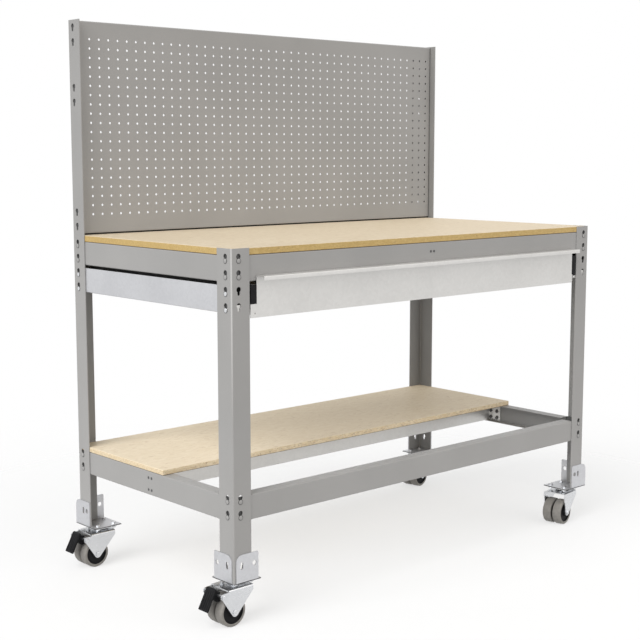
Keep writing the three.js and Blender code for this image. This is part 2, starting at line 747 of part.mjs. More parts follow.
// The whole table, moved so that the origin is on the floor under the middle of its box.
const assembly = new THREE.Group();
assembly.add(buildFrame(), buildDrawer(), ...CORNERS.map(buildCastor));
assembly.updateMatrixWorld(true);
const extent = new THREE.Box3().setFromObject(assembly, true);
const middle = extent.getCenter(new THREE.Vector3());
assembly.position.set(-middle.x, -middle.y, -extent.min.z);

const table = new THREE.Group();
table.add(assembly);

export default table;
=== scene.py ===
import json
import math
from contextlib import contextmanager

import bmesh
import bpy
from mathutils import Matrix, Vector


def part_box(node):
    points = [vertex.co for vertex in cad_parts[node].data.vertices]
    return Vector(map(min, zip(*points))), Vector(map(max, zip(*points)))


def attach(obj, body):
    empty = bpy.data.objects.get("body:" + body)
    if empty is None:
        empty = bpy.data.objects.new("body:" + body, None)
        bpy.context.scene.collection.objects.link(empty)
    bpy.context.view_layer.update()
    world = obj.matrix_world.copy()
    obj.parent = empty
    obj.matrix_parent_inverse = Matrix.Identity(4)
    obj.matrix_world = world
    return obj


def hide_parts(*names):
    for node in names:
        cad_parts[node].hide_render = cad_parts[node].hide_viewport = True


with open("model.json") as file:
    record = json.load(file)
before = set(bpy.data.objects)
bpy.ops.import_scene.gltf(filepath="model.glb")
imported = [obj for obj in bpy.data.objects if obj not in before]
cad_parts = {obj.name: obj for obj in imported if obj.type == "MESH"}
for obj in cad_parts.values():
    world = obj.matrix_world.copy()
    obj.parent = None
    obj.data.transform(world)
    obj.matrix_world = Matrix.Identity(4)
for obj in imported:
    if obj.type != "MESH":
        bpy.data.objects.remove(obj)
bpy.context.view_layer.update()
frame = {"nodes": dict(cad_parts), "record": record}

MM = 0.001
QUARTER = math.pi / 2
FACING = 0.5  # least part of a face's normal along a way that it counts as facing
SHARP_EDGE = math.radians(40)  # least angle between faces whose edge is eased
SMOOTH_BELOW = math.radians(35)  # greatest angle between faces that are shaded as one
FLAT_BELOW = math.radians(1)  # greatest angle between triangles of one flat face
SAME_POINT, SAME_CAD_POINT = 1e-7, 1e-6
SQUARE, HEXAGON = 4, 6  # sides of turned nuts and heads
SMALL_ROUND, ROUND, WIDE_ROUND, WHEEL_ROUND = 12, 24, 36, 48  # sides of turned parts
RIVET_ROUND, SHANK_ROUND, HUB_ROUND = 16, 20, 40
# The Mix node's names repeat for each kind of value, so its sockets go by number: A, B, result
MIX_COLOR = 6, 7, 2
MIX_VECTOR = 4, 5, 1


def mm(*pairs):
    return [(a * MM, b * MM) for a, b in pairs]


def middle_of(node):
    return [(low + high) / 2 for low, high in zip(*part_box(node))]


# Sheet metal
UPRIGHT_FLANGE = 48 * MM
UPRIGHT_WALL = 2 * MM
UPRIGHT_BEND = 3.2 * MM
BEND_HIGHLIGHT_SLANT = 0.35  # least slant to both flanges of the bend faces that carry the painted highlight
BEND_HIGHLIGHT_HEIGHTS = (0.44, 0.68)  # heights between which the painted highlight on the bends fades in
WARP_SHARE = 0.012  # of the noise that bends the zinc crystals' edges
CHIP_LAYERS = ((0.5, 0.34, 1.0), (-0.8, 0.42, 0.62), (1.35, 0.3, 1.7))  # turn, stretch, size
CHIP_SHARE = 0.333
KEYHOLE_INSET = 19.5 * MM
KEYHOLE_HEAD = 6 * MM
KEYHOLE_SLOT = 3.5 * MM
KEYHOLE_DROP = 9 * MM
FOOT_KEY = 30 * MM  # keyhole behind a castor bracket's slots
RIVET_PITCH = 34 * MM
RIVET_STAND = 2.6 * MM  # from a beam's face out to the underside of a rivet head
RIVET_HEAD = 4.8 * MM
RIVET_RISE = 1.6 * MM
RIVET_DOME = (0.2, 0.6, 1.0, 1.3)  # angles of its rings
# The dark ring under each rivet head is painted shadow.
RIVET_SHADE_RING = 5.8 * MM
RIVET_SHADE_RING_RISE = 0.4 * MM
RIVET_SHANK = 3.1 * MM
BEAM_WALL = 1.5 * MM
BEAM_BEND = 2.6 * MM
BEAM_FLANGE = 30 * MM
BEAM_LIP = 12 * MM
TAB_SET_BACK = 1.2 * MM  # a beam's ends lie this far behind its web
TAB_LAP = 6 * MM
TAB_RISE = 8 * MM  # the upper beams' ends reach up into the worktop's notches
SEAM = 0.5 * MM  # flat kept beside a fold
SEAT = 0.3 * MM  # between pieces that are fastened together
SHEET_EASE = 0.35 * MM
RAIL_EASE = 0.3 * MM

# Boards
NOTCH_DEPTH = 4 * MM
NOTCH_LENGTH = 44 * MM
BOARD_EASE = 1.0 * MM
ARRIS_SLANT = (-0.9, -0.3)  # of the faces along a board's lower edge, which carry a painted shade line

# Ties
TIE_WALL = 1.5 * MM
TIE_NUTS_BACK = (11 * MM, 33 * MM)  # from the front of the shelf tie's end plates
TIE_NUTS_UP = (9 * MM, 28 * MM)
TIE_NUT = mm((0, 0), (6, 0), (6, 3.2), (5, 4), (0, 4))
TIE_SCREW = mm((0, -1.5), (3.2, -1.5), (3.2, 0.4), (2.6, 0.8), (0, 0.8))
WORKTOP_SCREWS = (-5.5 * MM, 5.5 * MM)  # from the beam's middle
WORKTOP_SCREWS_UP = (34 * MM,)
SHELF_SCREWS = (16 * MM, 28 * MM)  # from the front of the end plates
SHELF_SCREWS_UP = (12 * MM, 40 * MM)

# Drawer carriers
CARRIER_KEYS = 24 * MM  # middle of a carrier's rivets above its bottom edge
CARRIER_PLATE = 18 * MM  # height of the plates that close a carrier's ends
CARRIER_TOE = 11 * MM
CARRIER_TOE_HEIGHT = 5.5 * MM
CARRIER_PLATE_PROUD = 0.15 * MM

# Tool panel
PANEL_WALL = 1.2 * MM
PANEL_BEND = 2.4 * MM
PANEL_HEM = 9 * MM
SHADE_STRIP_BACK = 1.0 * MM  # from the panel's face to the painted shade strip under it
HOLE_COLUMNS = 45
HOLE_ROWS = 20
HOLE_ACROSS = 26.12 * MM
HOLE_DOWN = 21.61 * MM
HOLE_RADIUS = 2.8 * MM
HOLE_SIDES = 14
HOLE_SHIFT = 8.5 * MM  # the field of holes lies to the right of the middle
TOP_ROW_BELOW = 41 * MM
PANEL_KEYS_ABOVE_WORKTOP = 31 * MM
PANEL_KEYS_BELOW_TOP = (40.5 * MM, 179.5 * MM)

# Drawer
FRONT_WALL = 1.5 * MM
FRONT_BEND = 2.4 * MM
PULL_EDGE = 9 * MM
FLAP_REACH = 17 * MM
FLAP_HEIGHT = 29 * MM
FLAP_HOLE = 1.8 * MM
FLAP_HOLE_IN = 11.9 * MM
FLAP_HOLE_UP = 9 * MM
STOP_REACH = 16.5 * MM
STOP_GAP = 0.4 * MM
STOP_EASE = 0.4 * MM

# Castor brackets
BRACKET_WALL = 2.5 * MM
BRACKET_BASE = 72 * MM
BRACKET_HEIGHT = 60 * MM
BRACKET_CORNER = 16 * MM
BRACKET_CHAMFER = 2 * MM
BRACKET_HOLE = 5.5 * MM
BRACKET_HOLE_INSET = 11 * MM
BRACKET_HOLE_UP = 36 * MM
BRACKET_SLOT = 3.6 * MM
BRACKET_SLOT_LENGTH = 16 * MM
BRACKET_EASE = 0.4 * MM

# Castors, in a frame that trails along +X from the swivel axis with the floor at Z = 0
AXLE_UP = middle_of("front_left_castor_axle")[2]
AXLE_BACK = 30 * MM
AXLE_RADIUS = 4 * MM
AXLE_WASHER = mm((0, 0.3), (6.5, 0.3), (6.5, 1), (0, 1))
AXLE_HEAD = mm((0, 1), (6.2, 1), (6.2, 2.5), (5.4, 2.8), (0, 2.8))
WHEEL_RADIUS = AXLE_UP - 0.02 * MM
WHEEL_INNER = 2.5 * MM
WHEEL_OUTER = 26.5 * MM
TYRE_INSIDE = 26.5 * MM
TYRE_SHOULDER = 4 * MM
TYRE_LIP = 0.8 * MM
HUB_BORE = 4.3 * MM
HUB_SET_IN = 0.3 * MM
HUB_RIM_BACK = 1.0 * MM
HUB_DISH = mm((25.1, -0.8), (24.1, -3.2), (13.5, -4.2), (11.6, -3.2), (11, 1.4))
HUB_NOSE = 10.4 * MM
HUB_CLEAR = 0.5 * MM
FORK_HALF = 29.5 * MM
FORK_WALL = 2.5 * MM
FORK_NOSE = -20 * MM
FORK_TAIL = 46 * MM
FORK_SKIRT = 12 * MM
FORK_BEND = 5 * MM
FORK_TIP = 9 * MM
CROWN_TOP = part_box("front_left_castor_fork")[1].z
CROWN_WALL = 3 * MM
PIVOT_BACK = 60 * MM
PIVOT_UP = AXLE_UP + 40 * MM
PIVOT_PIN_END = mm((3, 0.1), (5.2, 0.1), (5.2, 2.6), (4.2, 3.4), (0, 3.4))
EAR = 7 * MM
EAR_START = 0.5  # angle past straight down where the ear's round begins
PEDAL_HALF = 15 * MM
PEDAL_EASE = 1.4 * MM
PEDAL_ARM_HALF = 12 * MM
PEDAL_ARM_EASE = 0.8 * MM
PEDAL_PLATE = mm((5, 15), (10, 15), (33.5, -29.5), (28.5, -32))
PEDAL_ARM = mm((-6, 6), (8, 9), (19, -12), (12, -7), (4, -14.5), (-4, -14.5), (-6, -6))
RIB_PLACES = (-0.66, -0.22, 0.22, 0.66)  # shares of the foot plate's half width
RIB_HALF = 1.3 * MM
RIB_SUNK, RIB_RISE = 0.6 * MM, 0.8 * MM
RIB_SHORT = 4 * MM
RIB_EASE = 0.5 * MM
PLATE_HALF = 30 * MM
PLATE_CORNER = 7 * MM
PLATE_BORE = 5.3 * MM
RACE_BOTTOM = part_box("front_left_castor_plate")[0].z
RACE_CUP = mm((17.2, 0), (18.6, 0.5), (19.6, 2.2), (21.4, 4.8))
RACE_RIM = 22 * MM
RACE_LAP = 0.2 * MM
PLATE_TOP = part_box("front_left_castor_plate")[1].z
PLATE_BOTTOM = PLATE_TOP - 3 * MM
KINGPIN_HEAD = mm((0, -3), (6.5, -3), (8.4, -2), (9, -0.4), (9, 0), (5, 0))
KINGPIN_TIP = mm((5, -0.4), (4.5, 0), (0, 0))
BOLT_OFFSET = 22.5 * MM
BOLT_HEAD = mm((0, 0), (6.4, 0), (6.4, 0.8), (5.2, 0.8), (5.2, 3.6), (4.4, 4.2), (0, 4.2))
BOLT_NUT = mm((0, 0), (5.2, 0), (5.2, 3.4), (4.5, 3.9), (3, 3.9), (3, 4.8), (0, 4.8))
FREE_TURN = math.radians(10)

# Corners with the turn that brings the front left corner there, and where each bracket plate
# starts and ends from the arris
OPEN_PLATE = (5 * MM, 65 * MM)
FAR_PLATE = (8 * MM, 68 * MM)
NEAR_PLATE = (-14 * MM, 46 * MM)
CORNER_PLATE = (-SEAT - BRACKET_WALL, UPRIGHT_FLANGE)
CORNERS = {
    "front_left": (0, (OPEN_PLATE, OPEN_PLATE)),
    "front_right": (1, (FAR_PLATE, NEAR_PLATE)),
    "rear_right": (2, (CORNER_PLATE, CORNER_PLATE)),
    "rear_left": (3, (NEAR_PLATE, FAR_PLATE)),
}
SIDES = {"front": 0, "right": 1, "rear": 2, "left": 3}

# Stage, light and camera
FLOOR_FADE = (0.8, 2.2)
FLOOR_CLEAR = 0.6  # share of the white surround in the floor under the table
FLOOR_TONES = ((0.95, 0.95, 0.95, 1), (0.965, 0.965, 0.965, 1))
WORLD_LEVEL = 0.5
WHITE, WARM_WHITE = (1, 1, 1), (1, 0.95, 0.9)
SENSOR = 36
FRAME_PIXELS = 640
LENS_PIXELS = 1280.9
CLIP_END = 100
CAMERA_AT = (-2.19915, -2.3616, 1.00834)
CAMERA_TURN, CAMERA_TILT = math.radians(42.066), math.radians(-7.536)

body_of = {
    node: body
    for body, nodes in frame["record"]["behaviour"]["bodies"].items()
    for node in nodes
}


# Node trees


def put(tree, kind, sockets=None, **settings):
    """Adds a node, with its settings and with values or links on its sockets."""
    node = tree.nodes.new(kind)
    for name, value in settings.items():
        setattr(node, name, value)
    for name, value in (sockets or {}).items():
        if isinstance(value, bpy.types.NodeSocket):
            tree.links.new(value, node.inputs[name])
        else:
            node.inputs[name].default_value = value
    return node


def new_tree(name, kind, inputs, outputs):
    """An empty node group with named sockets, and its input node's sockets."""
    tree = bpy.data.node_groups.new(name, kind)
    for label, socket in outputs:
        tree.interface.new_socket(label, in_out="OUTPUT", socket_type="NodeSocket" + socket)
    for label, socket in inputs:
        tree.interface.new_socket(label, in_out="INPUT", socket_type="NodeSocket" + socket)
    return tree, tree.nodes.new("NodeGroupInput").outputs


def mixed(tree, factor, first, second):
    a, b, result = MIX_COLOR
    node = put(tree, "ShaderNodeMix", {0: factor, a: first, b: second}, data_type="RGBA")
    return node.outputs[result]


def ranged(tree, value, low, high, out_low=0.0, out_high=1.0):
    node = put(tree, "ShaderNodeMapRange", {0: value, 1: low, 2: high, 3: out_low, 4: out_high})
    return node.outputs[0]


def sums(tree, operation, first, second):
    return put(tree, "ShaderNodeMath", {0: first, 1: second}, operation=operation).outputs[0]


def place(tree):
    return put(tree, "ShaderNodeTexCoord").outputs["Object"]


def noise(tree, scale, detail=2.0, roughness=0.5):
    sockets = {"Vector": place(tree), "Scale": scale, "Detail": detail}
    return put(tree, "ShaderNodeTexNoise", {**sockets, "Roughness": roughness}).outputs["Fac"]


def skin_tree(name, colors, measures):
    """An empty shader group for a surface, with its named colours and measures."""
    inputs = [(label, "Color") for label in colors] + [(label, "Float") for label in measures]
    outputs = [("Color", "Color"), ("Roughness", "Float"), ("Height", "Float")]
    return new_tree(name, "ShaderNodeTree", inputs, outputs)


def weighed(tree, *parts):
    """Adds up values, each times its share."""
    total, *others = [sums(tree, "MULTIPLY", value, share) for value, share in parts]
    for term in others:
        total = sums(tree, "ADD", total, term)
    return total


def coat_group():
    """Powder coat: a fine pebbled skin with slow changes of tone, and a painted highlight that
    fades in towards the top.
    """
    tree, given = skin_tree(
        "powder_coat_skin", ("Deep", "Pale", "Highlight"), ("Pebble scale", "Rub")
    )
    pebble = noise(tree, given["Pebble scale"], detail=3.0)
    drift = noise(tree, scale=5.0, detail=3.0)
    speck = noise(tree, scale=2600.0, detail=1.0)
    tone = weighed(tree, (drift, 0.6), (speck, 0.4))
    color = mixed(tree, ranged(tree, tone, 0.32, 0.68), given["Deep"], given["Pale"])
    # Painted highlight: a paler colour mixed in by height, used only on the uprights' bends.
    height = put(tree, "ShaderNodeSeparateXYZ", {"Vector": place(tree)}).outputs["Z"]
    highlight_mask = sums(tree, "MULTIPLY", ranged(tree, height, *BEND_HIGHLIGHT_HEIGHTS), given["Rub"])
    color = mixed(tree, highlight_mask, color, given["Highlight"])
    rough = ranged(tree, pebble, 0.3, 0.7, 0.4, 0.54)
    put(tree, "NodeGroupOutput", {"Color": color, "Roughness": rough, "Height": pebble})
    return tree


def cells_at(tree, vector, scale, channel):
    """A random value for each cell."""
    cells = put(tree, "ShaderNodeTexVoronoi", {"Vector": vector, "Scale": scale})
    split = put(tree, "ShaderNodeSeparateColor", {"Color": cells.outputs["Color"]})
    return split.outputs[channel]


def spangle_group():
    """Zinc crystals: facets of slightly different tone, with a fine drawn grain over them."""
    tree, given = skin_tree(
        "zinc_spangle", ("Deep", "Pale"), ("Crystal scale", "Crystal share", "Smooth", "Dull")
    )
    at = place(tree)
    warp = put(tree, "ShaderNodeTexNoise", {"Vector": at, "Scale": 30.0, "Detail": 2.0})
    a, b, result = MIX_VECTOR
    sockets = {"Factor": WARP_SHARE, a: at, b: warp.outputs["Color"]}
    bent = put(tree, "ShaderNodeMix", sockets, data_type="VECTOR").outputs[result]
    facet = cells_at(tree, bent, given["Crystal scale"], "Red")
    cloud = noise(tree, scale=9.0, detail=4.0)
    grain = noise(tree, scale=1400.0)
    tone = weighed(tree, (facet, given["Crystal share"]), (cloud, 0.6), (grain, 0.3))
    color = mixed(tree, ranged(tree, tone, 0.25, 0.9), given["Deep"], given["Pale"])
    rough = ranged(tree, tone, 0.2, 0.9, given["Smooth"], given["Dull"])
    put(tree, "NodeGroupOutput", {"Color": color, "Roughness": rough, "Height": tone})
    return tree


def chip_group():
    """Pressed wood chips in three sizes, laid at different angles, with a few dark flecks."""
    tree, given = skin_tree(
        "wood_chips", ("Pale", "Warm", "Fleck"), ("Chip scale", "Fleck share")
    )
    at = place(tree)
    layers = []
    for turn, stretch, factor in CHIP_LAYERS:
        sockets = {"Vector": at, "Rotation": (0.0, 0.0, turn), "Scale": (stretch, 1.0, 1.0)}
        laid = put(tree, "ShaderNodeMapping", sockets).outputs[0]
        scale = sums(tree, "MULTIPLY", given["Chip scale"], factor)
        layers.append(cells_at(tree, laid, scale, "Green"))
    chips = weighed(tree, *((layer, CHIP_SHARE) for layer in layers))
    cloud = noise(tree, scale=4.0, detail=4.0)
    fibre = noise(tree, scale=700.0, detail=3.0)
    tone = weighed(tree, (chips, 0.62), (cloud, 0.26), (fibre, 0.16))
    color = mixed(tree, ranged(tree, tone, 0.3, 0.74), given["Warm"], given["Pale"])
    fleck = sums(tree, "GREATER_THAN", layers[2], given["Fleck share"])
    thin = sums(tree, "GREATER_THAN", layers[1], 0.55)
    where = sums(tree, "MULTIPLY", sums(tree, "MULTIPLY", fleck, thin), fibre)
    color = mixed(tree, where, color, given["Fleck"])
    rough = ranged(tree, tone, 0.3, 0.75, 0.5, 0.68)
    put(tree, "NodeGroupOutput", {"Color": color, "Roughness": rough, "Height": tone})
    return tree


def moulded_group():
    """Moulded rubber and plastic: a fine matt grain with faint scuffs."""
    tree, given = skin_tree("moulded_skin", ("Deep", "Pale"), ("Grain scale", "Smooth", "Dull"))
    grain = noise(tree, given["Grain scale"])
    scuff = noise(tree, scale=70.0, detail=5.0, roughness=0.65)
    color = mixed(tree, ranged(tree, scuff, 0.35, 0.7), given["Deep"], given["Pale"])
    rough = ranged(tree, scuff, 0.3, 0.7, given["Smooth"], given["Dull"])
    put(tree, "NodeGroupOutput", {"Color": color, "Roughness": rough, "Height": grain})
    return tree


def new_material(name):
    """A material, its node tree and its shader."""
    material = bpy.data.materials.new(name)
    material.use_nodes = True
    return material, material.node_tree, material.node_tree.nodes["Principled BSDF"]


def finish(name, group, values, bump, depth, **constants):
    """A material whose group gives its colour, roughness and relief."""
    material, tree, shader = new_material(name)
    skin = put(tree, "ShaderNodeGroup", node_tree=group)
    for label, value in values.items():
        skin.inputs[label].default_value = (*value, 1.0) if isinstance(value, tuple) else value
    sockets = {"Height": skin.outputs["Height"], "Strength": bump, "Distance": depth}
    relief = put(tree, "ShaderNodeBump", sockets)
    tree.links.new(skin.outputs["Color"], shader.inputs["Base Color"])
    tree.links.new(skin.outputs["Roughness"], shader.inputs["Roughness"])
    tree.links.new(relief.outputs["Normal"], shader.inputs["Normal"])
    for label, value in constants.items():
        shader.inputs[label.replace("_", " ").title().replace("Ior", "IOR")].default_value = value
    return material


coat, spangle, chips, moulded = coat_group(), spangle_group(), chip_group(), moulded_group()


def coated(name, deep, pale, pebbles=900.0, highlight_color=None):
    values = {"Deep": deep, "Pale": pale, "Pebble scale": pebbles}
    if highlight_color:
        values |= {"Highlight": highlight_color, "Rub": 1.0}
    return finish(name, coat, values, bump=0.2, depth=0.0004)


def zinced(name, deep, pale, crystals, share, smooth, dull, bump, metallic):
    values = {"Deep": deep, "Pale": pale, "Crystal scale": crystals, "Crystal share": share}
    values |= {"Smooth": smooth, "Dull": dull}
    return finish(name, spangle, values, bump, depth=0.0002, metallic=metallic)


def chipped(name, pale, warm, fleck, size=420.0, share=0.88, bump=0.2, depth=0.0004):
    values = {"Pale": pale, "Warm": warm, "Fleck": fleck}
    values |= {"Chip scale": size, "Fleck share": share}
    return finish(name, chips, values, bump, depth)


def cast(name, deep, pale, grain, smooth, dull, bump, **constants):
    values = {"Deep": deep, "Pale": pale, "Grain scale": grain, "Smooth": smooth, "Dull": dull}
    return finish(name, moulded, values, bump, depth=0.0003, **constants)


COAT_DEEP, COAT_PALE = (0.333, 0.328, 0.32), (0.381, 0.374, 0.365)
painted = coated("grey_powder_coat", COAT_DEEP, COAT_PALE)
# The uprights' bends get a paler coat towards the top: a painted highlight.
painted_highlight_on_bends = coated("coat_with_painted_bend_highlight", COAT_DEEP, COAT_PALE, highlight_color=(0.54, 0.533, 0.52))
# A darker coat for the inner faces of the uprights and beams: painted shade.
painted_shade_inside = coated("coat_with_painted_shade_inside", (0.25, 0.247, 0.242), (0.29, 0.287, 0.28))
# Dark steel for the slides, nuts and screws, and painted shade behind keyholes, in gaps, round
# rivet heads and on folds.
dark_steel_and_shade = coated("dark_steel_and_painted_shade", (0.06, 0.06, 0.06), (0.1, 0.1, 0.1), pebbles=700.0)
galvanised = zinced(
    "galvanised_sheet",
    (0.6, 0.592, 0.575),
    (0.7, 0.692, 0.675),
    crystals=160.0,
    share=0.2,
    smooth=0.36,
    dull=0.46,
    bump=0.05,
    metallic=0.7,
)
bracket_sheet = zinced(
    "cool_zinc_sheet",
    (0.52, 0.525, 0.545),
    (0.64, 0.645, 0.665),
    crystals=190.0,
    share=0.2,
    smooth=0.34,
    dull=0.46,
    bump=0.06,
    metallic=0.75,
)
zinc = zinced(
    "bright_zinc",
    (0.58, 0.59, 0.605),
    (0.78, 0.79, 0.81),
    crystals=420.0,
    share=0.12,
    smooth=0.2,
    dull=0.34,
    bump=0.06,
    metallic=0.95,
)
SANDED = {"size": 170.0, "share": 0.9, "bump": 0.06, "depth": 0.0003}
board_face = chipped(
    "particle_board_face", (0.75, 0.645, 0.485), (0.655, 0.54, 0.375), (0.52, 0.4, 0.25), **SANDED
)
# A paler copy of the board face: painted light that makes up for the shade under the worktop.
shelf_face_painted_light = chipped(
    "particle_board_shelf_face_painted_light",
    (0.9, 0.783, 0.6),
    (0.81, 0.675, 0.475),
    (0.6, 0.46, 0.29),
    **SANDED,
)
board_edge = chipped(
    "particle_board_edge", (0.63, 0.455, 0.185), (0.5, 0.335, 0.11), (0.3, 0.18, 0.07)
)
shelf_edge = chipped(
    "particle_board_shelf_edge",
    (0.88, 0.76, 0.56),
    (0.69, 0.53, 0.31),
    (0.3, 0.18, 0.08),
    share=0.7,
)
# A dark brown line along the boards' lower edges: painted shade of the gap over the beams.
board_edge_shade_line = chipped(
    "particle_board_painted_shade_line", (0.2, 0.115, 0.05), (0.12, 0.065, 0.028), (0.07, 0.035, 0.015)
)
rubber = cast(
    "grey_tread_rubber",
    (0.2, 0.19, 0.174),
    (0.27, 0.256, 0.236),
    grain=1500.0,
    smooth=0.5,
    dull=0.7,
    bump=0.15,
)
# Black moulding for the hubs, pedals and stops, and the black strip under the tool panel as
# painted shade.
black_plastic_and_shade = cast(
    "black_moulding_and_painted_shade",
    (0.007, 0.007, 0.008),
    (0.016, 0.016, 0.017),
    grain=1900.0,
    smooth=0.48,
    dull=0.62,
    bump=0.12,
    specular_ior_level=0.12,
)


# Geometry trees


def shape_tree(name, **sockets):
    """An empty geometry tree, with the names of its inputs under their kinds."""
    inputs = [(label, kind) for kind, labels in sockets.items() for label in labels]
    return new_tree(name, "GeometryNodeTree", inputs, [("Geometry", "Geometry")])


def together(tree, first, second):
    node = put(tree, "GeometryNodeJoinGeometry", {"Geometry": first})
    tree.links.new(second, node.inputs["Geometry"])
    return node.outputs["Geometry"]


def sheet_tree():
    """Fills flat outlines and gives the sheet its wall."""
    tree, given = shape_tree("sheet_from_outlines", Geometry=["Outlines"], Float=["Wall"])
    flat = put(tree, "GeometryNodeFillCurve", {"Curve": given["Outlines"]}).outputs["Mesh"]
    sockets = {"Mesh": flat, "Offset Scale": given["Wall"], "Individual": False}
    raised = put(tree, "GeometryNodeExtrudeMesh", sockets)
    under = put(tree, "GeometryNodeFlipFaces", {"Mesh": flat})
    both = together(tree, raised.outputs["Mesh"], under.outputs["Mesh"])
    sockets = {"Geometry": both, "Distance": SAME_CAD_POINT}
    whole = put(tree, "GeometryNodeMergeByDistance", sockets)
    put(tree, "NodeGroupOutput", {"Geometry": whole.outputs["Geometry"]})
    return tree


def settled(tree, geometry, material):
    """Ends a tree with plain geometry in one material."""
    plain = put(tree, "GeometryNodeRealizeInstances", {"Geometry": geometry})
    sockets = {"Geometry": plain.outputs["Geometry"], "Material": material}
    coloured = put(tree, "GeometryNodeSetMaterial", sockets)
    put(tree, "NodeGroupOutput", {"Geometry": coloured.outputs["Geometry"]})
    return tree


def opened_sheet(tree, given, outline, cuts):
    """Ends a tree with a sheet inside an outline that is open at the cuts."""
    loose = put(tree, "GeometryNodeRealizeInstances", {"Geometry": cuts})
    outlines = together(tree, outline, loose.outputs["Geometry"])
    sockets = {"Outlines": outlines, "Wall": given["Wall"]}
    sheet = put(tree, "GeometryNodeGroup", sockets, node_tree=sheet_of_outlines)
    return settled(tree, sheet.outputs["Geometry"], given["Material"])


def perforated_tree():
    """A flat sheet with rows and columns of round holes."""
    lengths = ["Width", "Height", "Wall", "Across", "Down"]
    lengths += ["Shift across", "Shift up", "Hole radius"]
    tree, given = shape_tree(
        "perforated_sheet", Float=lengths, Int=["Columns", "Rows"], Material=["Material"]
    )
    sockets = {"Width": given["Width"], "Height": given["Height"]}
    outline = put(tree, "GeometryNodeCurvePrimitiveQuadrilateral", sockets)
    spans = [
        sums(tree, "MULTIPLY", sums(tree, "SUBTRACT", given[count], 1.0), given[pitch])
        for count, pitch in (("Columns", "Across"), ("Rows", "Down"))
    ]
    sockets = {"Size X": spans[0], "Size Y": spans[1]}
    sockets |= {"Vertices X": given["Columns"], "Vertices Y": given["Rows"]}
    grid = put(tree, "GeometryNodeMeshGrid", sockets)
    sockets = {"Resolution": HOLE_SIDES, "Radius": given["Hole radius"]}
    hole = put(tree, "GeometryNodeCurvePrimitiveCircle", sockets)
    sockets = {"Points": grid.outputs["Mesh"], "Instance": hole.outputs["Curve"]}
    field = put(tree, "GeometryNodeInstanceOnPoints", sockets)
    shift = put(tree, "ShaderNodeCombineXYZ", {"X": given["Shift across"], "Y": given["Shift up"]})
    sockets = {"Geometry": field.outputs["Instances"], "Translation": shift.outputs[0]}
    moved = put(tree, "GeometryNodeTransform", sockets)
    return opened_sheet(tree, given, outline.outputs["Curve"], moved.outputs["Geometry"])


def pierced_tree():
    """A plate of any outline with the same cut-out at each of the host's points."""
    tree, given = shape_tree(
        "pierced_plate",
        Geometry=["Places"],
        Object=["Outline", "Cut-out"],
        Float=["Wall"],
        Material=["Material"],
    )
    curves = []
    for label in ("Outline", "Cut-out"):
        drawn = put(tree, "GeometryNodeObjectInfo", {"Object": given[label]})
        curve = put(tree, "GeometryNodeMeshToCurve", {"Mesh": drawn.outputs["Geometry"]})
        curves.append(curve.outputs["Curve"])
    sockets = {"Points": given["Places"], "Instance": curves[1]}
    cuts = put(tree, "GeometryNodeInstanceOnPoints", sockets)
    return opened_sheet(tree, given, curves[0], cuts.outputs["Instances"])


def fastener_tree():
    """One fastener at each of the host's points, turned to face its way."""
    tree, given = shape_tree(
        "fasteners_in_place", Geometry=["Places"], Object=["Fastener"], Material=["Material"]
    )
    kind = "FLOAT_VECTOR"
    facing = put(tree, "GeometryNodeInputNamedAttribute", {"Name": "facing"}, data_type=kind)
    sockets = {"Vector": facing.outputs["Attribute"]}
    turn = put(tree, "FunctionNodeAlignRotationToVector", sockets, axis="Z")
    shape = put(tree, "GeometryNodeObjectInfo", {"Object": given["Fastener"]})
    sockets = {"Points": given["Places"], "Instance": shape.outputs["Geometry"]}
    sockets |= {"Rotation": turn.outputs["Rotation"]}
    set_in = put(tree, "GeometryNodeInstanceOnPoints", sockets)
    return settled(tree, set_in.outputs["Instances"], given["Material"])


sheet_of_outlines = sheet_tree()
perforated_sheet, pierced_plate, fasteners = perforated_tree(), pierced_tree(), fastener_tree()


# Meshes


def shown(name, data):
    item = bpy.data.objects.new(name, data)
    bpy.context.scene.collection.objects.link(item)
    return item


def evaluated(host):
    """The host's result as a plain mesh; the host and its modifiers are removed."""
    graph = bpy.context.evaluated_depsgraph_get()
    graph.update()
    mesh = bpy.data.meshes.new_from_object(host.evaluated_get(graph))
    source = host.data
    bpy.data.objects.remove(host)
    bpy.data.meshes.remove(source)
    return mesh


def grown(tree, points, values, facing=None):
    """Runs a geometry tree on a set of points."""
    mesh = bpy.data.meshes.new("places")
    mesh.from_pydata([Vector(point).to_3d() for point in points], [], [])
    if facing:
        ways = mesh.attributes.new("facing", "FLOAT_VECTOR", "POINT")
        ways.data.foreach_set("vector", [number for way in facing for number in way])
    host = shown("host", mesh)
    sockets = [item for item in tree.interface.items_tree if item.in_out == "INPUT"]
    keys = {socket.name: socket.identifier for socket in sockets}
    modifier = host.modifiers.new("tree", "NODES")
    modifier.node_group = tree
    for label, value in values.items():
        modifier[keys[label]] = value
    return outward(evaluated(host))


@contextmanager
def opened(mesh):
    """Lends a mesh's editable shape and takes the changes back."""
    shape = bmesh.new()
    shape.from_mesh(mesh)
    yield shape
    shape.to_mesh(mesh)
    shape.free()


def outward(mesh):
    """Turns a closed mesh the right way out."""
    with opened(mesh) as shape:
        if shape.calc_volume(signed=True) < 0:
            bmesh.ops.reverse_faces(shape, faces=shape.faces)
    return mesh


def closed(points, faces, material):
    """A closed mesh in one material, from points and faces."""
    mesh = bpy.data.meshes.new("shape")
    mesh.from_pydata(points, [], faces)
    with opened(mesh) as shape:
        bmesh.ops.remove_doubles(shape, verts=shape.verts, dist=SAME_POINT)
        bmesh.ops.recalc_face_normals(shape, faces=shape.faces)
    mesh.materials.append(material)
    return mesh


def placed(mesh, matrix):
    mesh.transform(matrix)
    if matrix.determinant() < 0:
        mesh.flip_normals()
    return mesh


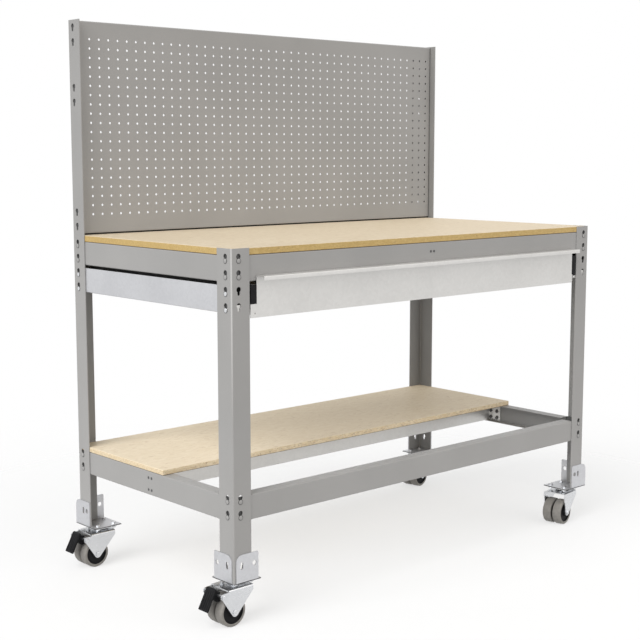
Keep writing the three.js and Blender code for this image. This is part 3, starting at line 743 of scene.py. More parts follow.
def joined(meshes):
    """Several meshes as one, each keeping its materials."""
    whole = bmesh.new()
    finishes = []
    for mesh in meshes:
        finishes += [each for each in mesh.materials if each not in finishes]
        first = len(whole.faces)
        whole.from_mesh(mesh)
        whole.faces.ensure_lookup_table()
        for face in whole.faces[first:]:
            face.material_index = finishes.index(mesh.materials[face.material_index])
    result = bpy.data.meshes.new("whole")
    whole.to_mesh(result)
    whole.free()
    for each in finishes:
        result.materials.append(each)
    for mesh in meshes:
        bpy.data.meshes.remove(mesh)
    return result


def softened(mesh, width, segments=2):
    """Eases the sharp edges."""
    host = shown("host", mesh)
    bevel = host.modifiers.new("ease", "BEVEL")
    bevel.width = width
    bevel.segments = segments
    bevel.limit_method = "ANGLE"
    bevel.angle_limit = SHARP_EDGE
    return evaluated(host)


def dressed(mesh, material, chosen):
    """Gives a second material to the faces whose normal is chosen."""
    mesh.materials.append(material)
    for face in mesh.polygons:
        if chosen(face.normal):
            face.material_index = len(mesh.materials) - 1
    return mesh


def copied(node, material, ease=SHEET_EASE):
    """A clean copy of a CAD node with eased edges."""
    mesh = frame["nodes"][node].data.copy()
    with opened(mesh) as shape:
        bmesh.ops.remove_doubles(shape, verts=shape.verts, dist=SAME_CAD_POINT)
        bmesh.ops.dissolve_limit(
            shape, angle_limit=FLAT_BELOW, verts=shape.verts, edges=shape.edges
        )
    mesh.materials.clear()
    mesh.materials.append(material)
    return softened(mesh, ease)


def finished(name, mesh, slot, *nodes, body=None):
    """A finished piece that rides on its nodes' body and stands for them."""
    with opened(mesh) as shape:
        for face in shape.faces:
            face.smooth = True
        for edge in shape.edges:
            edge.smooth = len(edge.link_faces) == 2 and edge.calc_face_angle() < SMOOTH_BELOW
    mesh.name = name
    piece = shown(name, mesh)
    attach(piece, body or body_of[nodes[0]])
    if nodes:
        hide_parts(*nodes)


def arc(x, y, radius, start, end, steps=10):
    return [
        (x + radius * math.cos(angle), y + radius * math.sin(angle))
        for angle in (start + (end - start) * step / steps for step in range(steps + 1))
    ]


def circle(x, y, radius, sides=24):
    return arc(x, y, radius, 0, 2 * math.pi, steps=sides)[:-1]


def slot_loop(x, y, radius, length):
    reach = length / 2 - radius
    above = arc(x, y + reach, radius, 0, math.pi)
    return above + arc(x, y - reach, radius, math.pi, 2 * math.pi)


def keyhole():
    neck = math.asin(KEYHOLE_SLOT / KEYHOLE_HEAD)
    seat = arc(0, 0, KEYHOLE_SLOT, 0, -math.pi)
    start, end = -QUARTER - neck, -5 * QUARTER + neck
    return seat + arc(0, KEYHOLE_DROP, KEYHOLE_HEAD, start, end, steps=18)


def rectangle(x0, x1, y0, y1):
    return [(x0, y0), (x1, y0), (x1, y1), (x0, y1)]


def rounded(corners, radius, steps=5):
    """A polygon with its corners rounded."""
    points = []
    for i, corner in enumerate(corners):
        here = Vector(corner)
        into = (here - Vector(corners[i - 1])).normalized()
        out = (Vector(corners[(i + 1) % len(corners)]) - here).normalized()
        for step in range(steps + 1):
            t = step / steps
            start, end = here - into * radius, here + out * radius
            points.append(tuple(start * (1 - t) ** 2 + here * 2 * t * (1 - t) + end * t * t))
    return points


def loop_object(loops):
    mesh = bpy.data.meshes.new("loops")
    points, edges = [], []
    for loop in loops:
        first = len(points)
        points += [Vector(point).to_3d() for point in loop]
        edges += [(first + i, first + (i + 1) % len(loop)) for i in range(len(loop))]
    mesh.from_pydata(points, edges, [])
    return shown("loops", mesh)


def dropped(*items):
    for item in items:
        mesh = item.data
        bpy.data.objects.remove(item)
        bpy.data.meshes.remove(mesh)


def pierced(outline, cutouts, places, wall, material):
    """A flat plate in X and Y with cut-outs at each place, its wall along +Z."""
    edge, cut = loop_object([outline]), loop_object(cutouts)
    values = {"Outline": edge, "Cut-out": cut, "Wall": wall, "Material": material}
    mesh = grown(pierced_plate, places, values)
    dropped(edge, cut)
    return mesh


def fastened(shape, spots, material):
    """A fastener at each (place, way it faces)."""
    item = shown("fastener", shape)
    mesh = grown(
        fasteners,
        [spot for spot, way in spots],
        {"Fastener": item, "Material": material},
        [way for spot, way in spots],
    )
    dropped(item)
    return mesh


def facing_front(back):
    """Stands a plate up in X and Z, with its wall running forward from Y = back."""
    return Matrix(((1, 0, 0, 0), (0, 0, -1, back), (0, 1, 0, 0), (0, 0, 0, 1)))


def facing_left(back):
    """Stands a plate up in Y and Z, with its wall running left from X = back."""
    return Matrix(((0, 0, -1, back), (1, 0, 0, 0), (0, 1, 0, 0), (0, 0, 0, 1)))


def turned(profile, sides, material):
    """A turned solid about Z from (radius, height) pairs."""
    points, rings, faces = [], [], []
    for radius, height in profile:
        first = len(points)
        if radius < SAME_POINT:
            rings.append([first] * sides)
            points.append((0, 0, height))
            continue
        rings.append(list(range(first, first + sides)))
        points += [(x, y, height) for x, y in circle(0, 0, radius, sides)]
    for below, above in zip(rings, rings[1:]):
        for i in range(sides):
            j = (i + 1) % sides
            corners = list(dict.fromkeys((below[i], below[j], above[j], above[i])))
            if len(corners) > 2:
                faces.append(corners)
    return closed(points, faces, material)


def left_of(way):
    return Vector((-way.y, way.x))


def folded_faces(path, bend, wall, steps=5):
    """Both faces of a sheet folded along a path; the sheet lies to the left of it."""
    near, far = [], []
    for i, point in enumerate(path):
        here = Vector(point)
        if i in (0, len(path) - 1):
            way = (Vector(path[1]) - here if i == 0 else here - Vector(path[i - 1])).normalized()
            near.append(here)
            far.append(here + left_of(way) * wall)
            continue
        into = (here - Vector(path[i - 1])).normalized()
        out = (Vector(path[i + 1]) - here).normalized()
        turn = math.atan2(into.cross(out), into.dot(out))
        hand = 1 if turn > 0 else -1
        radius = bend if hand > 0 else bend - wall
        centre = here - into * radius * math.tan(abs(turn) / 2) + left_of(into) * radius * hand
        spoke = -left_of(into) * hand
        for step in range(steps + 1):
            c, s = math.cos(turn * step / steps), math.sin(turn * step / steps)
            ray = Vector((spoke.x * c - spoke.y * s, spoke.x * s + spoke.y * c))
            near.append(centre + ray * radius)
            far.append(centre + ray * (radius - hand * wall))
    return near, far


def swept(near, far, start, end, material):
    """A folded sheet drawn in Y and Z, from X = start to X = end."""
    count = len(near)
    points = [(x, p.x, p.y) for x in (start, end) for side in (near, far) for p in side]
    a, b, c, d = 0, count, 2 * count, 3 * count
    faces = []
    for i in range(count - 1):
        j = i + 1
        faces += [
            (a + i, a + j, c + j, c + i),
            (b + i, d + i, d + j, b + j),
            (a + i, b + i, b + j, a + j),
            (c + i, c + j, d + j, d + i),
        ]
    for i in (0, count - 1):
        faces.append((a + i, c + i, d + i, b + i))
    return closed(points, faces, material)


def folded(path, bend, wall, start, end, material):
    return swept(*folded_faces(path, bend, wall), start, end, material)


def box(low, high, material, ease=0.0):
    x, y, z = zip(low, high)
    points = [(i, j, k) for i in x for j in y for k in z]
    faces = [(0, 1, 3, 2), (4, 6, 7, 5), (0, 4, 5, 1), (2, 3, 7, 6), (0, 2, 6, 4), (1, 5, 7, 3)]
    mesh = closed(points, faces, material)
    return softened(mesh, ease) if ease else mesh


def turn_about_z(quarters):
    return Matrix.Rotation(quarters * QUARTER, 4, "Z")


# The frame's own measures, from the CAD nodes
front_left, rear_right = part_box("front_left_upright"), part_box("rear_right_upright")
left_x, front_y, foot = front_left[0]
right_x, rear_y = rear_right[1].x, rear_right[1].y
middle_x, middle_y = (left_x + right_x) / 2, (front_y + rear_y) / 2
half_width, half_depth = (right_x - left_x) / 2, (rear_y - front_y) / 2
worktop_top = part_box("worktop")[1].z
upright_top = rear_right[1].z
ARRIS = {
    "front_left": (left_x, front_y),
    "front_right": (right_x, front_y),
    "rear_right": (right_x, rear_y),
    "rear_left": (left_x, rear_y),
}


def pair(height):
    return [height - RIVET_PITCH / 2, height + RIVET_PITCH / 2]


frame_keys = [
    foot + FOOT_KEY,
    *pair(middle_of("front_lower_beam")[2]),
    *pair(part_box("left_drawer_carrier")[0].z + CARRIER_KEYS),
    *pair(middle_of("front_upper_beam")[2]),
]
panel_keys = pair(worktop_top + PANEL_KEYS_ABOVE_WORKTOP) + [
    height for below in PANEL_KEYS_BELOW_TOP for height in pair(upright_top - below)
]


def corner_frame(corner, height):
    """Where a corner's pieces sit: their arris on the upright's."""
    quarters, _ = CORNERS[corner]
    return Matrix.Translation((*ARRIS[corner], height)) @ turn_about_z(quarters)


def keyholed_upright(corner):
    node = f"{corner}_upright"
    low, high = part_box(node)
    length = high.z - low.z
    keys = frame_keys + (panel_keys if corner.startswith("rear") else [])
    places = [(KEYHOLE_INSET, height - low.z) for height in keys]
    flanges = []
    for stand in (facing_front, facing_left):
        outline = rectangle(UPRIGHT_BEND, UPRIGHT_FLANGE, 0, length)
        flange = pierced(outline, [keyhole()], places, UPRIGHT_WALL, painted)
        # The flanges' inner faces are darker: painted shade.
        dressed(flange, painted_shade_inside, lambda normal: normal.z < -FACING)
        flanges.append(placed(flange, stand(UPRIGHT_WALL)))
    bend = UPRIGHT_BEND
    near, far = [
        [Vector(point) for point in arc(bend, bend, radius, math.pi, 3 * QUARTER, steps=6)]
        for radius in (bend, bend - UPRIGHT_WALL)
    ]
    upright_way = Matrix(((0, 1, 0, 0), (0, 0, 1, 0), (1, 0, 0, 0), (0, 0, 0, 1)))
    arris = swept(near, far, 0, length, painted)
    # The middle faces of each bend carry the painted highlight.
    dressed(arris, painted_highlight_on_bends, lambda normal: min(abs(normal.y), abs(normal.z)) > BEND_HIGHLIGHT_SLANT)
    placed(arris, upright_way)
    mesh = placed(joined(flanges + [arris]), corner_frame(corner, low.z))
    finished(f"{corner}_keyholed_upright", mesh, "painted_steel", node)


def side_frame(side, height):
    """Where a side's beam sits: its outer face on the inside of the uprights' flanges."""
    quarters = SIDES[side]
    inside = (half_depth if quarters % 2 == 0 else half_width) - UPRIGHT_WALL - SEAT
    return (
        Matrix.Translation((middle_x, middle_y, height))
        @ turn_about_z(quarters)
        @ Matrix.Translation((0, -inside, 0))
    )


def side_span(side):
    return 2 * (half_width if SIDES[side] % 2 == 0 else half_depth)


def rivets(span, heights, skin):
    """Rivets at both ends of a beam, each with a dark ring under its head: painted shadow round
    the head.
    """
    along = span / 2 - KEYHOLE_INSET
    spots = [
        ((x, -RIVET_STAND, height), (0, -1, 0)) for x in (-along, along) for height in heights
    ]
    root = -RIVET_STAND - TAB_SET_BACK
    shade_ring = turned(
        [
            (0, root),
            (RIVET_SHANK, root),
            (RIVET_SHANK, 0),
            (RIVET_SHADE_RING, 0),
            (RIVET_SHADE_RING, RIVET_SHADE_RING_RISE),
            (0, RIVET_SHADE_RING_RISE),
        ],
        RIVET_ROUND,
        dark_steel_and_shade,
    )
    crown = RIVET_RISE - RIVET_SHADE_RING_RISE
    dome = [
        (RIVET_HEAD * math.cos(angle), RIVET_SHADE_RING_RISE + crown * math.sin(angle))
        for angle in RIVET_DOME
    ]
    head = turned([(0, 0), (RIVET_HEAD, 0), *dome, (0, RIVET_RISE)], RIVET_ROUND, skin)
    return [fastened(shade_ring, spots, dark_steel_and_shade), fastened(head, spots, skin)]


def folded_beam(side, level):
    node = f"{side}_{level}_beam"
    low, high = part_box(node)
    height = high.z - low.z
    span = side_span(side)
    fold = span / 2 - UPRIGHT_FLANGE
    end = span / 2 - UPRIGHT_WALL - SEAT
    if SIDES[side] % 2:
        end -= BEAM_WALL + SEAT + TAB_SET_BACK
    seam = BEAM_BEND + SEAM
    web = box((-fold, 0, seam), (fold, BEAM_WALL, height - seam), painted)
    # The web's inner face is darker: painted shade.
    dressed(web, painted_shade_inside, lambda normal: normal.y > FACING)
    rise = TAB_RISE if level == "upper" else 0
    # The beam's ends are dark: painted shade behind the uprights' keyholes.
    shaded_tabs = [
        box((start, TAB_SET_BACK, 0), (stop, TAB_SET_BACK + BEAM_WALL, height + rise), dark_steel_and_shade)
        for start, stop in ((-end, TAB_LAP - fold), (fold - TAB_LAP, end))
    ]
    top = [(BEAM_FLANGE, height), (0, height), (0, height - seam)]
    bottom = [(0, seam), (0, 0), (BEAM_LIP, 0)]
    folds = [folded(path, BEAM_BEND, BEAM_WALL, -fold, fold, painted) for path in (top, bottom)]
    parts = [web, *shaded_tabs, *folds, *rivets(span, pair(height / 2), painted)]
    mesh = placed(joined(parts), side_frame(side, low.z))
    finished(f"{side}_{level}_folded_beam", mesh, "painted_steel", node)


def drawer_carrier(side):
    """A galvanised trough whose ends lie behind the uprights' flanges; its ends and inner wall are
    dark, as painted shade.
    """
    node = f"{side}_drawer_carrier"
    low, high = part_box(node)
    height = high.z - low.z
    end = half_depth - UPRIGHT_WALL - SEAT
    fold = half_depth - UPRIGHT_FLANGE
    deep = UPRIGHT_FLANGE - UPRIGHT_WALL - SEAT
    seam = deep - BEAM_BEND - SEAM
    outer, set_back = [[(back, height), (back, 0), (seam, 0)] for back in (0, TAB_SET_BACK)]
    inner = [(seam, 0), (deep, 0), (deep, height)]
    parts = [
        folded(path, BEAM_BEND, BEAM_WALL, start, stop, skin)
        for path, start, stop, skin in (
            (outer, -fold, fold, bracket_sheet),
            (set_back, -end, TAB_LAP - fold, dark_steel_and_shade),
            (set_back, fold - TAB_LAP, end, dark_steel_and_shade),
            (inner, -end, end, dark_steel_and_shade),
        )
    ]
    # Each end has a low plate with a toe that reaches in under the slide.
    plate = [
        (TAB_SET_BACK, 0),
        (deep + CARRIER_TOE, 0),
        (deep + CARRIER_TOE, CARRIER_TOE_HEIGHT),
        (deep, CARRIER_TOE_HEIGHT),
        (deep, CARRIER_PLATE),
        (TAB_SET_BACK, CARRIER_PLATE),
    ]
    for back in (end + CARRIER_PLATE_PROUD, BEAM_WALL - end - CARRIER_PLATE_PROUD):
        parts.append(placed(pierced(plate, [], [], BEAM_WALL, galvanised), facing_left(back)))
    parts += rivets(side_span(side), pair(CARRIER_KEYS), zinc)
    mesh = placed(joined(parts), side_frame(side, low.z))
    finished(f"{side}_carrier_trough", mesh, "galvanised_steel", node)


def tool_panel():
    low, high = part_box("tool_panel")
    width, height, fold = high.x - low.x, high.z - low.z, high.y - low.y
    flat = PANEL_BEND + SEAM
    top_row = height / 2 - TOP_ROW_BELOW
    shift = top_row - (HOLE_ROWS - 1) * HOLE_DOWN / 2
    face = grown(
        perforated_sheet,
        [(0, 0)],
        {
            "Width": width - 2 * flat,
            "Height": height - 2 * flat,
            "Wall": PANEL_WALL,
            "Columns": HOLE_COLUMNS,
            "Rows": HOLE_ROWS,
            "Across": HOLE_ACROSS,
            "Down": HOLE_DOWN,
            "Shift across": HOLE_SHIFT,
            "Shift up": shift,
            "Hole radius": HOLE_RADIUS,
            "Material": painted,
        },
    )
    placed(face, facing_front(PANEL_WALL))
    # Each edge is folded back, then hemmed inwards; the folds are mitred where they meet. The side
    # folds are dark: painted shade beside the uprights.
    rims = []
    for turn in range(4):
        reach, half = (width / 2, height / 2) if turn % 2 else (height / 2, width / 2)
        path = [(fold, reach - PANEL_HEM), (fold, reach), (0, reach), (0, reach - flat)]
        rim = folded(path, PANEL_BEND, PANEL_WALL, -1.0, 1.0, dark_steel_and_shade if turn % 2 else painted)
        for vertex in rim.vertices:
            inset = reach - vertex.co.z
            vertex.co.x = math.copysign(half - inset, vertex.co.x)
        rims.append(placed(rim, Matrix.Rotation(turn * QUARTER, 4, "Y")))
    mesh = joined([face] + rims)
    x, _, z = middle_of("tool_panel")
    placed(mesh, Matrix.Translation((x, low.y, z)))
    # A black strip under the bottom fold is painted shade in the gap over the worktop.
    front = low.y + SHADE_STRIP_BACK
    shade_strip = box(
        (low.x, front, worktop_top + SEAT), (high.x, front + PANEL_WALL, low.z + SEAM), black_plastic_and_shade
    )
    mesh = joined([mesh, shade_strip])
    finished("perforated_tool_panel", mesh, "painted_steel", "tool_panel")


def plain(low, high):
    return rectangle(low.x, high.x, low.y, high.y)


def notched(low, high):
    """A rectangle that is set back along both sides of each corner."""
    points = []
    for x, y, along, across in (
        (low.x, low.y, 1, 1),
        (high.x, low.y, -1, 1),
        (high.x, high.y, -1, -1),
        (low.x, high.y, 1, -1),
    ):
        corner = [
            (x, y + across * NOTCH_LENGTH),
            (x + along * NOTCH_DEPTH, y + across * NOTCH_LENGTH),
            (x + along * NOTCH_DEPTH, y + across * NOTCH_DEPTH),
            (x + along * NOTCH_LENGTH, y + across * NOTCH_DEPTH),
            (x + along * NOTCH_LENGTH, y),
        ]
        points += corner if along == across else corner[::-1]
    return points


def board(name, node, face, edge, shape):
    """A board with a sanded face and an open chip edge."""
    low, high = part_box(node)
    mesh = pierced(shape(low, high), [], [], high.z - low.z, face)
    mesh = softened(placed(mesh, Matrix.Translation((0, 0, low.z))), BOARD_EASE, segments=1)
    dressed(mesh, edge, lambda normal: abs(normal.z) < FACING)
    # The eased lower edge carries the painted shade line.
    dressed(mesh, board_edge_shade_line, lambda normal: ARRIS_SLANT[0] < normal.z < ARRIS_SLANT[1])
    finished(name, mesh, "particle_board", node)


def drawer_front():
    low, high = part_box("drawer_front")
    back = high.y
    path = [(back, low.z), (back, high.z), (low.y, high.z), (low.y, high.z - PULL_EDGE)]
    parts = [folded(path, FRONT_BEND, FRONT_WALL, low.x, high.x, galvanised)]
    flap = pierced(
        rectangle(0, FLAP_REACH, 0, FLAP_HEIGHT),
        [circle(FLAP_HOLE_IN, FLAP_HOLE_UP, FLAP_HOLE, sides=16)],
        [(0, 0)],
        FRONT_WALL,
        galvanised,
    )
    beside = Matrix.Translation((low.x - FLAP_REACH, 0, low.z))
    parts.append(placed(flap, beside @ facing_front(back)))
    finished("drawer_pull_front", joined(parts), "galvanised_steel", "drawer_front")


def drawer_stops():
    """Black end stops beside the drawer front, over the ends of the slides."""
    low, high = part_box("drawer_front")
    bottom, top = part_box("left_slide_inner_rail")[0].z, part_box("drawer_tray")[1].z
    stops = []
    for start, stop, under in (
        (low.x - STOP_REACH, low.x - STOP_GAP, low.z + FLAP_HEIGHT + STOP_GAP),
        (high.x + STOP_GAP, high.x + STOP_REACH, bottom),
    ):
        ends = (start, high.y - FRONT_WALL, under), (stop, high.y, top)
        stops.append(box(*ends, black_plastic_and_shade, STOP_EASE))
    finished("drawer_end_stops", joined(stops), "black_plastic", body="drawer")


def slotted_bracket(corner):
    _, spans = CORNERS[corner]
    node = f"{corner}_castor_bracket"
    outside = -SEAT - BRACKET_WALL
    plates = []
    for (start, end), stand in zip(spans, (facing_front, facing_left)):
        bend, top = start + BRACKET_CORNER, BRACKET_HEIGHT - BRACKET_CORNER
        outline = [
            (start, outside),
            (end, outside),
            (end, BRACKET_HEIGHT - BRACKET_CHAMFER),
            (end - BRACKET_CHAMFER, BRACKET_HEIGHT),
            *arc(bend, top, BRACKET_CORNER, QUARTER, math.pi),
        ]
        holes = [
            circle(end - BRACKET_HOLE_INSET, BRACKET_HOLE_UP, BRACKET_HOLE, sides=28),
            slot_loop(KEYHOLE_INSET, BRACKET_HOLE_UP, BRACKET_SLOT, BRACKET_SLOT_LENGTH),
        ]
        plate = pierced(outline, holes, [(0, 0)], BRACKET_WALL, bracket_sheet)
        plates.append(placed(plate, stand(-SEAT)))
    base = box(
        (min(outside, spans[0][0]), min(outside, spans[1][0]), outside),
        (BRACKET_BASE, BRACKET_BASE, -SEAT),
        bracket_sheet,
        BRACKET_EASE,
    )
    # The base's sides and underside are dark: uncoated cut edges, and painted shade of the gap
    # under the base.
    dressed(base, dark_steel_and_shade, lambda normal: normal.z < FACING)
    mesh = placed(joined(plates + [base]), corner_frame(corner, foot))
    finished(f"{corner}_slotted_bracket", mesh, "galvanised_steel", node)


# Castors


def castor_frame(corner):
    x, y, _ = middle_of(f"{corner}_castor_plate")
    turn = math.pi if corner.endswith("left") else math.pi + FREE_TURN
    middle = Matrix.Translation((x, y, 0))
    return middle, middle @ Matrix.Rotation(turn, 4, "Z")


def race_plate(corner, middle):
    plate = pierced(
        rounded(rectangle(-PLATE_HALF, PLATE_HALF, -PLATE_HALF, PLATE_HALF), PLATE_CORNER),
        [circle(0, 0, PLATE_BORE)],
        [(0, 0)],
        PLATE_TOP - PLATE_BOTTOM,
        zinc,
    )
    placed(plate, Matrix.Translation((0, 0, PLATE_BOTTOM)))
    bore = (PLATE_BORE, RACE_BOTTOM)
    cup = [(radius, RACE_BOTTOM + rise) for radius, rise in RACE_CUP]
    lap = [(radius, PLATE_BOTTOM + RACE_LAP) for radius in (RACE_RIM, PLATE_BORE)]
    race = turned([bore, *cup, *lap, bore], WIDE_ROUND, zinc)
    mesh = placed(joined([plate, race]), middle)
    finished(f"{corner}_race_plate", mesh, "zinc_steel", f"{corner}_castor_plate")


def kingpin(corner, middle):
    under = CROWN_TOP - CROWN_WALL - SEAT
    head = [(radius, under + rise) for radius, rise in KINGPIN_HEAD]
    tip = [(radius, PLATE_TOP + rise) for radius, rise in KINGPIN_TIP]
    mesh = placed(turned(head + tip, ROUND, zinc), middle)
    finished(f"{corner}_kingpin", mesh, "zinc_steel", f"{corner}_castor_kingpin")


def touch(centre, radius, corner, hand):
    """Angle at which a straight edge from a corner meets a round tip."""
    away = Vector(corner) - Vector(centre)
    return math.atan2(away.y, away.x) + hand * math.acos(radius / away.length)


def pressed_fork(corner, trail, braked):
    outside = FORK_HALF + FORK_WALL
    skirt = CROWN_TOP - FORK_SKIRT
    path = [(outside, skirt), (outside, CROWN_TOP), (-outside, CROWN_TOP), (-outside, skirt)]
    crown = folded(path, FORK_BEND, FORK_WALL, FORK_NOSE, FORK_TAIL, zinc)
    axle = (AXLE_BACK, AXLE_UP)
    nose = (FORK_NOSE, skirt)
    ear = (PIVOT_BACK + EAR, PIVOT_UP)
    tail = (ear[0], PIVOT_UP - EAR) if braked else (FORK_TAIL, skirt)
    start, end = touch(axle, FORK_TIP, nose, 1), touch(axle, FORK_TIP, tail, -1)
    if end < start:
        end += 2 * math.pi
    outline = [nose] + arc(*axle, FORK_TIP, start, end, steps=14)
    if braked:
        outline += arc(PIVOT_BACK, PIVOT_UP, EAR, EAR_START - QUARTER, QUARTER, steps=8)
        outline.append((FORK_TAIL, CROWN_TOP - FORK_BEND))
    outline.append((FORK_TAIL, skirt))
    parts = [crown]
    for back in (outside, -FORK_HALF):
        hole = circle(*axle, AXLE_RADIUS + SEAT)
        cheek = pierced(outline, [hole], [(0, 0)], FORK_WALL, zinc)
        parts.append(placed(cheek, facing_front(back)))
    if braked:
        far = [(radius, outside + rise) for radius, rise in PIVOT_PIN_END]
        near = [(radius, -height) for radius, height in reversed(far)]
        pin = turned(near + far, SMALL_ROUND, zinc)
        across = Matrix.Translation((PIVOT_BACK, 0, PIVOT_UP)) @ Matrix.Rotation(QUARTER, 4, "X")
        parts.append(placed(pin, across))
    mesh = placed(joined(parts), trail)
    finished(f"{corner}_pressed_fork", mesh, "zinc_steel", f"{corner}_castor_fork")


def across_axle(hand):
    """Lays a turned part along the axle, its +Z to the wheel's own side."""
    return Matrix.Translation((AXLE_BACK, 0, AXLE_UP)) @ Matrix.Rotation(-hand * QUARTER, 4, "X")


def axle_bolt(corner, trail):
    reach = FORK_HALF + FORK_WALL
    shank = [(0, -reach), (AXLE_RADIUS, -reach), (AXLE_RADIUS, reach), (0, reach)]
    parts = [turned(shank, SHANK_ROUND, zinc)]
    for turn in (0, math.pi):
        away = Matrix.Rotation(turn, 4, "X") @ Matrix.Translation((0, 0, reach))
        parts.append(placed(turned(AXLE_WASHER, ROUND, zinc), away))
        parts.append(placed(turned(AXLE_HEAD, HEXAGON, zinc), away))
    mesh = placed(joined(parts), trail @ across_axle(-1))
    finished(f"{corner}_axle_bolt", mesh, "zinc_steel", f"{corner}_castor_axle")


def wheel(corner, letter, trail):
    inner, outer = WHEEL_INNER, WHEEL_OUTER
    rim, round_from = TYRE_INSIDE, WHEEL_RADIUS - TYRE_SHOULDER
    shoulders = [
        *arc(inner + TYRE_SHOULDER, round_from, TYRE_SHOULDER, math.pi, QUARTER, steps=5)[1:],
        *arc(outer - TYRE_SHOULDER, round_from, TYRE_SHOULDER, QUARTER, 0, steps=5),
    ]
    tyre = [
        (rim, inner),
        (round_from, inner),
        *((radius, height) for height, radius in shoulders),
        (rim + TYRE_LIP, outer),
        (rim, outer - TYRE_LIP),
        (rim, inner),
    ]
    back, nose = inner + HUB_SET_IN, FORK_HALF - HUB_CLEAR
    hub = [
        (HUB_BORE, back),
        (rim, back),
        (rim, outer - HUB_RIM_BACK),
        *((radius, outer + rise) for radius, rise in HUB_DISH),
        (HUB_NOSE, nose),
        (HUB_BORE, nose),
        (HUB_BORE, back),
    ]
    parts = [turned(tyre, WHEEL_ROUND, rubber), turned(hub, HUB_ROUND, black_plastic_and_shade)]
    mesh = placed(joined(parts), trail @ across_axle(1 if letter == "a" else -1))
    node = f"{corner}_castor_wheel_{letter}"
    finished(f"{corner}_tyre_{letter}", mesh, "grey_rubber", node)


def slab(outline, half, ease):
    """A plastic block drawn in X and Z, centred on Y = 0."""
    return softened(placed(pierced(outline, [], [], 2 * half, black_plastic_and_shade), facing_front(half)), ease)


def moulded_pedal(corner, trail):
    """A ribbed foot plate on an arm that turns on the pin and ends in the brake shoe."""
    top, toe = [Vector((x, 0, z)) for x, z in PEDAL_PLATE[1:3]]
    slope = Matrix.Rotation(math.atan2(top.z - toe.z, toe.x - top.x), 4, "Y")
    parts = [
        slab(PEDAL_PLATE, PEDAL_HALF, PEDAL_EASE),
        slab(PEDAL_ARM, PEDAL_ARM_HALF, PEDAL_ARM_EASE),
    ]
    reach = (toe - top).length / 2 - RIB_SHORT
    for share in RIB_PLACES:
        ends = (-reach, -RIB_HALF, -RIB_SUNK), (reach, RIB_HALF, RIB_RISE)
        middle = Matrix.Translation(top.lerp(toe, 0.5) + Vector((0, share * PEDAL_HALF, 0)))
        parts.append(placed(box(*ends, black_plastic_and_shade, RIB_EASE), middle @ slope))
    mesh = placed(joined(parts), trail @ Matrix.Translation((PIVOT_BACK, 0, PIVOT_UP)))
    node = f"{corner}_castor_brake_pedal"
    finished(f"{corner}_moulded_pedal", mesh, "black_plastic", node)


def castor_bolts():
    """Hex heads on the brackets and nuts under the castor plates."""
    heads, nuts = [], []
    for corner in CORNERS:
        x, y, _ = middle_of(f"{corner}_castor_plate")
        for dx in (-BOLT_OFFSET, BOLT_OFFSET):
            for dy in (-BOLT_OFFSET, BOLT_OFFSET):
                heads.append(((x + dx, y + dy, foot - SEAT), (0, 0, 1)))
                nuts.append(((x + dx, y + dy, PLATE_BOTTOM), (0, 0, -1)))
    parts = [
        fastened(turned(profile, HEXAGON, zinc), spots, zinc)
        for profile, spots in ((BOLT_HEAD, heads), (BOLT_NUT, nuts))
    ]
    finished("castor_plate_bolts", joined(parts), "zinc_steel", body="frame")


def tie_bolts():
    """Square nuts on the plates at the shelf tie's ends."""
    low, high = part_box("shelf_tie")
    spots = [
        ((x, low.y + back, low.z + up), (way, 0, 0))
        for x, way in ((low.x + TIE_WALL, 1), (high.x - TIE_WALL, -1))
        for back in TIE_NUTS_BACK
        for up in TIE_NUTS_UP
    ]
    mesh = fastened(turned(TIE_NUT, SQUARE, dark_steel_and_shade), spots, dark_steel_and_shade)
    finished("shelf_tie_bolts", mesh, "black_zinc_steel", body="frame")


def tie_screws():
    """Dark screws in the beams' faces that hold the ends of the two ties."""
    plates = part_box("shelf_tie")[0].y - middle_y
    right = [plates + back for back in SHELF_SCREWS]
    left = [-along for along in reversed(right)]
    spots = []
    for side, level, places, heights in (
        ("front", "upper", WORKTOP_SCREWS, WORKTOP_SCREWS_UP),
        ("rear", "upper", WORKTOP_SCREWS, WORKTOP_SCREWS_UP),
        ("left", "lower", left, SHELF_SCREWS_UP),
        ("right", "lower", right, SHELF_SCREWS_UP),
    ):
        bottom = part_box(f"{side}_{level}_beam")[0].z
        way = turn_about_z(SIDES[side]) @ Vector((0, -1, 0))
        spots += [
            (side_frame(side, bottom + up) @ Vector((along, 0, 0)), way)
            for along in places
            for up in heights
        ]
    mesh = fastened(turned(TIE_SCREW, SMALL_ROUND, dark_steel_and_shade), spots, dark_steel_and_shade)
    finished("tie_end_screws", mesh, "black_zinc_steel", body="frame")


for corner in CORNERS:
    keyholed_upright(corner)
    slotted_bracket(corner)

for side in SIDES:
    for level in ("upper", "lower"):
        folded_beam(side, level)

tool_panel()
board("worktop_board", "worktop", board_face, board_edge, notched)
board("shelf_board", "lower_shelf", shelf_face_painted_light, shelf_edge, plain)
drawer_front()
drawer_stops()
for name, node, material, slot in (
    ("worktop_channel_tie", "worktop_tie", painted, "painted_steel"),
    ("shelf_angle_tie", "shelf_tie", galvanised, "galvanised_steel"),
    ("drawer_folded_tray", "drawer_tray", galvanised, "galvanised_steel"),
):
    finished(name, copied(node, material), slot, node)
for side in ("left", "right"):
    drawer_carrier(side)
    for part in ("outer", "middle", "inner"):
        node = f"{side}_slide_{part}_rail"
        mesh = copied(node, dark_steel_and_shade, RAIL_EASE)
        finished(f"{side}_{part}_rail_profile", mesh, "black_zinc_steel", node)

for corner in CORNERS:
    middle, trail = castor_frame(corner)
    braked = corner.endswith("left")
    race_plate(corner, middle)
    kingpin(corner, middle)
    pressed_fork(corner, trail, braked)
    axle_bolt(corner, trail)
    for letter in "ab":
        wheel(corner, letter, trail)
    if braked:
        moulded_pedal(corner, trail)
castor_bolts()
tie_bolts()
tie_screws()


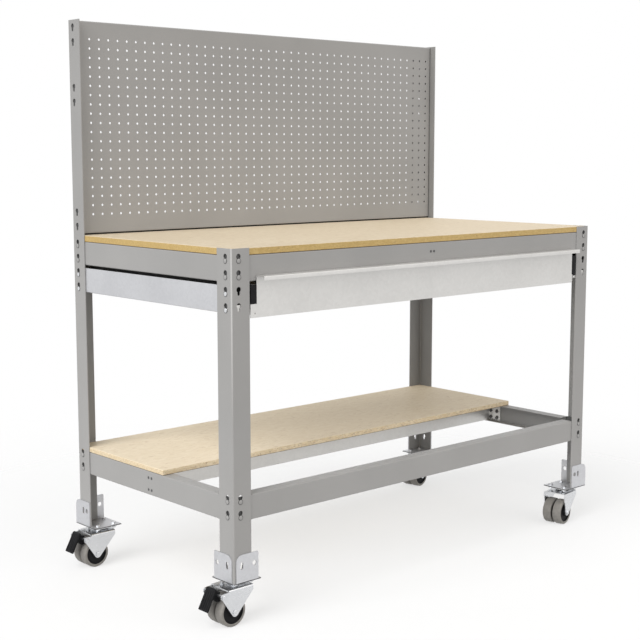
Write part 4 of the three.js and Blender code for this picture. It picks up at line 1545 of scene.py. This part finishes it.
def pale_floor():
    """A pale floor that carries the table's shadow and fades into the white surround."""
    mesh = bpy.data.meshes.new("floor")
    reach = FLOOR_FADE[1]
    corners = rectangle(-reach, reach, -reach, reach)
    mesh.from_pydata([(x, y, 0) for x, y in corners], [], [(0, 1, 2, 3)])
    material, tree, shader = new_material("pale_floor")
    tone = mixed(tree, noise(tree, scale=2.0), *FLOOR_TONES)
    tree.links.new(tone, shader.inputs["Base Color"])
    shader.inputs["Roughness"].default_value = 0.9
    shader.inputs["Specular IOR Level"].default_value = 0.0
    away = put(tree, "ShaderNodeVectorMath", {0: place(tree)}, operation="LENGTH").outputs["Value"]
    clear = put(tree, "ShaderNodeBsdfTransparent")
    fade = put(tree, "ShaderNodeMixShader", {0: ranged(tree, away, *FLOOR_FADE, FLOOR_CLEAR)})
    tree.links.new(shader.outputs[0], fade.inputs[1])
    tree.links.new(clear.outputs[0], fade.inputs[2])
    tree.links.new(fade.outputs[0], tree.nodes["Material Output"].inputs["Surface"])
    mesh.materials.append(material)
    shown("floor", mesh)


def studio_world():
    world = bpy.data.worlds.new("studio")
    bpy.context.scene.world = world
    world.use_nodes = True
    tree = world.node_tree
    tree.nodes.clear()
    path = put(tree, "ShaderNodeLightPath").outputs
    seen = sums(tree, "MAXIMUM", path["Is Camera Ray"], path["Is Glossy Ray"])
    seen = sums(tree, "MAXIMUM", seen, path["Is Transmission Ray"])
    strength = ranged(tree, seen, 0.0, 1.0, WORLD_LEVEL, 1.0)
    sky = put(tree, "ShaderNodeBackground", {"Color": (1, 1, 1, 1), "Strength": strength})
    put(tree, "ShaderNodeOutputWorld", {"Surface": sky.outputs[0]})


def aimed(name, data, way):
    """A lamp or camera that looks along a way."""
    item = shown(name, data)
    item.rotation_mode = "QUATERNION"
    item.rotation_quaternion = way.to_track_quat("-Z", "Y")
    return item


def lamp(name, away, strength, angle, color):
    """A broad, soft light that stands away from the table in a direction."""
    data = bpy.data.lights.new(name, "SUN")
    data.energy = strength
    data.color = color
    data.angle = math.radians(angle)
    aimed(name, data, -Vector(away))


def camera():
    data = bpy.data.cameras.new("camera")
    data.sensor_width = SENSOR
    data.lens = LENS_PIXELS / FRAME_PIXELS * SENSOR
    data.clip_end = CLIP_END
    level = Vector((math.sin(CAMERA_TURN), math.cos(CAMERA_TURN), 0)) * math.cos(CAMERA_TILT)
    item = aimed("camera", data, level + Vector((0, 0, math.sin(CAMERA_TILT))))
    item.location = CAMERA_AT
    bpy.context.scene.camera = item


pale_floor()
studio_world()
lamp("left_softbox", (-0.75, -0.15, 0.64), strength=2.25, angle=45, color=WHITE)
lamp("front_softbox", (0.2, -0.8, 0.5), strength=0.7, angle=60, color=WARM_WHITE)
camera()
bpy.context.scene.view_settings.view_transform = "Standard"
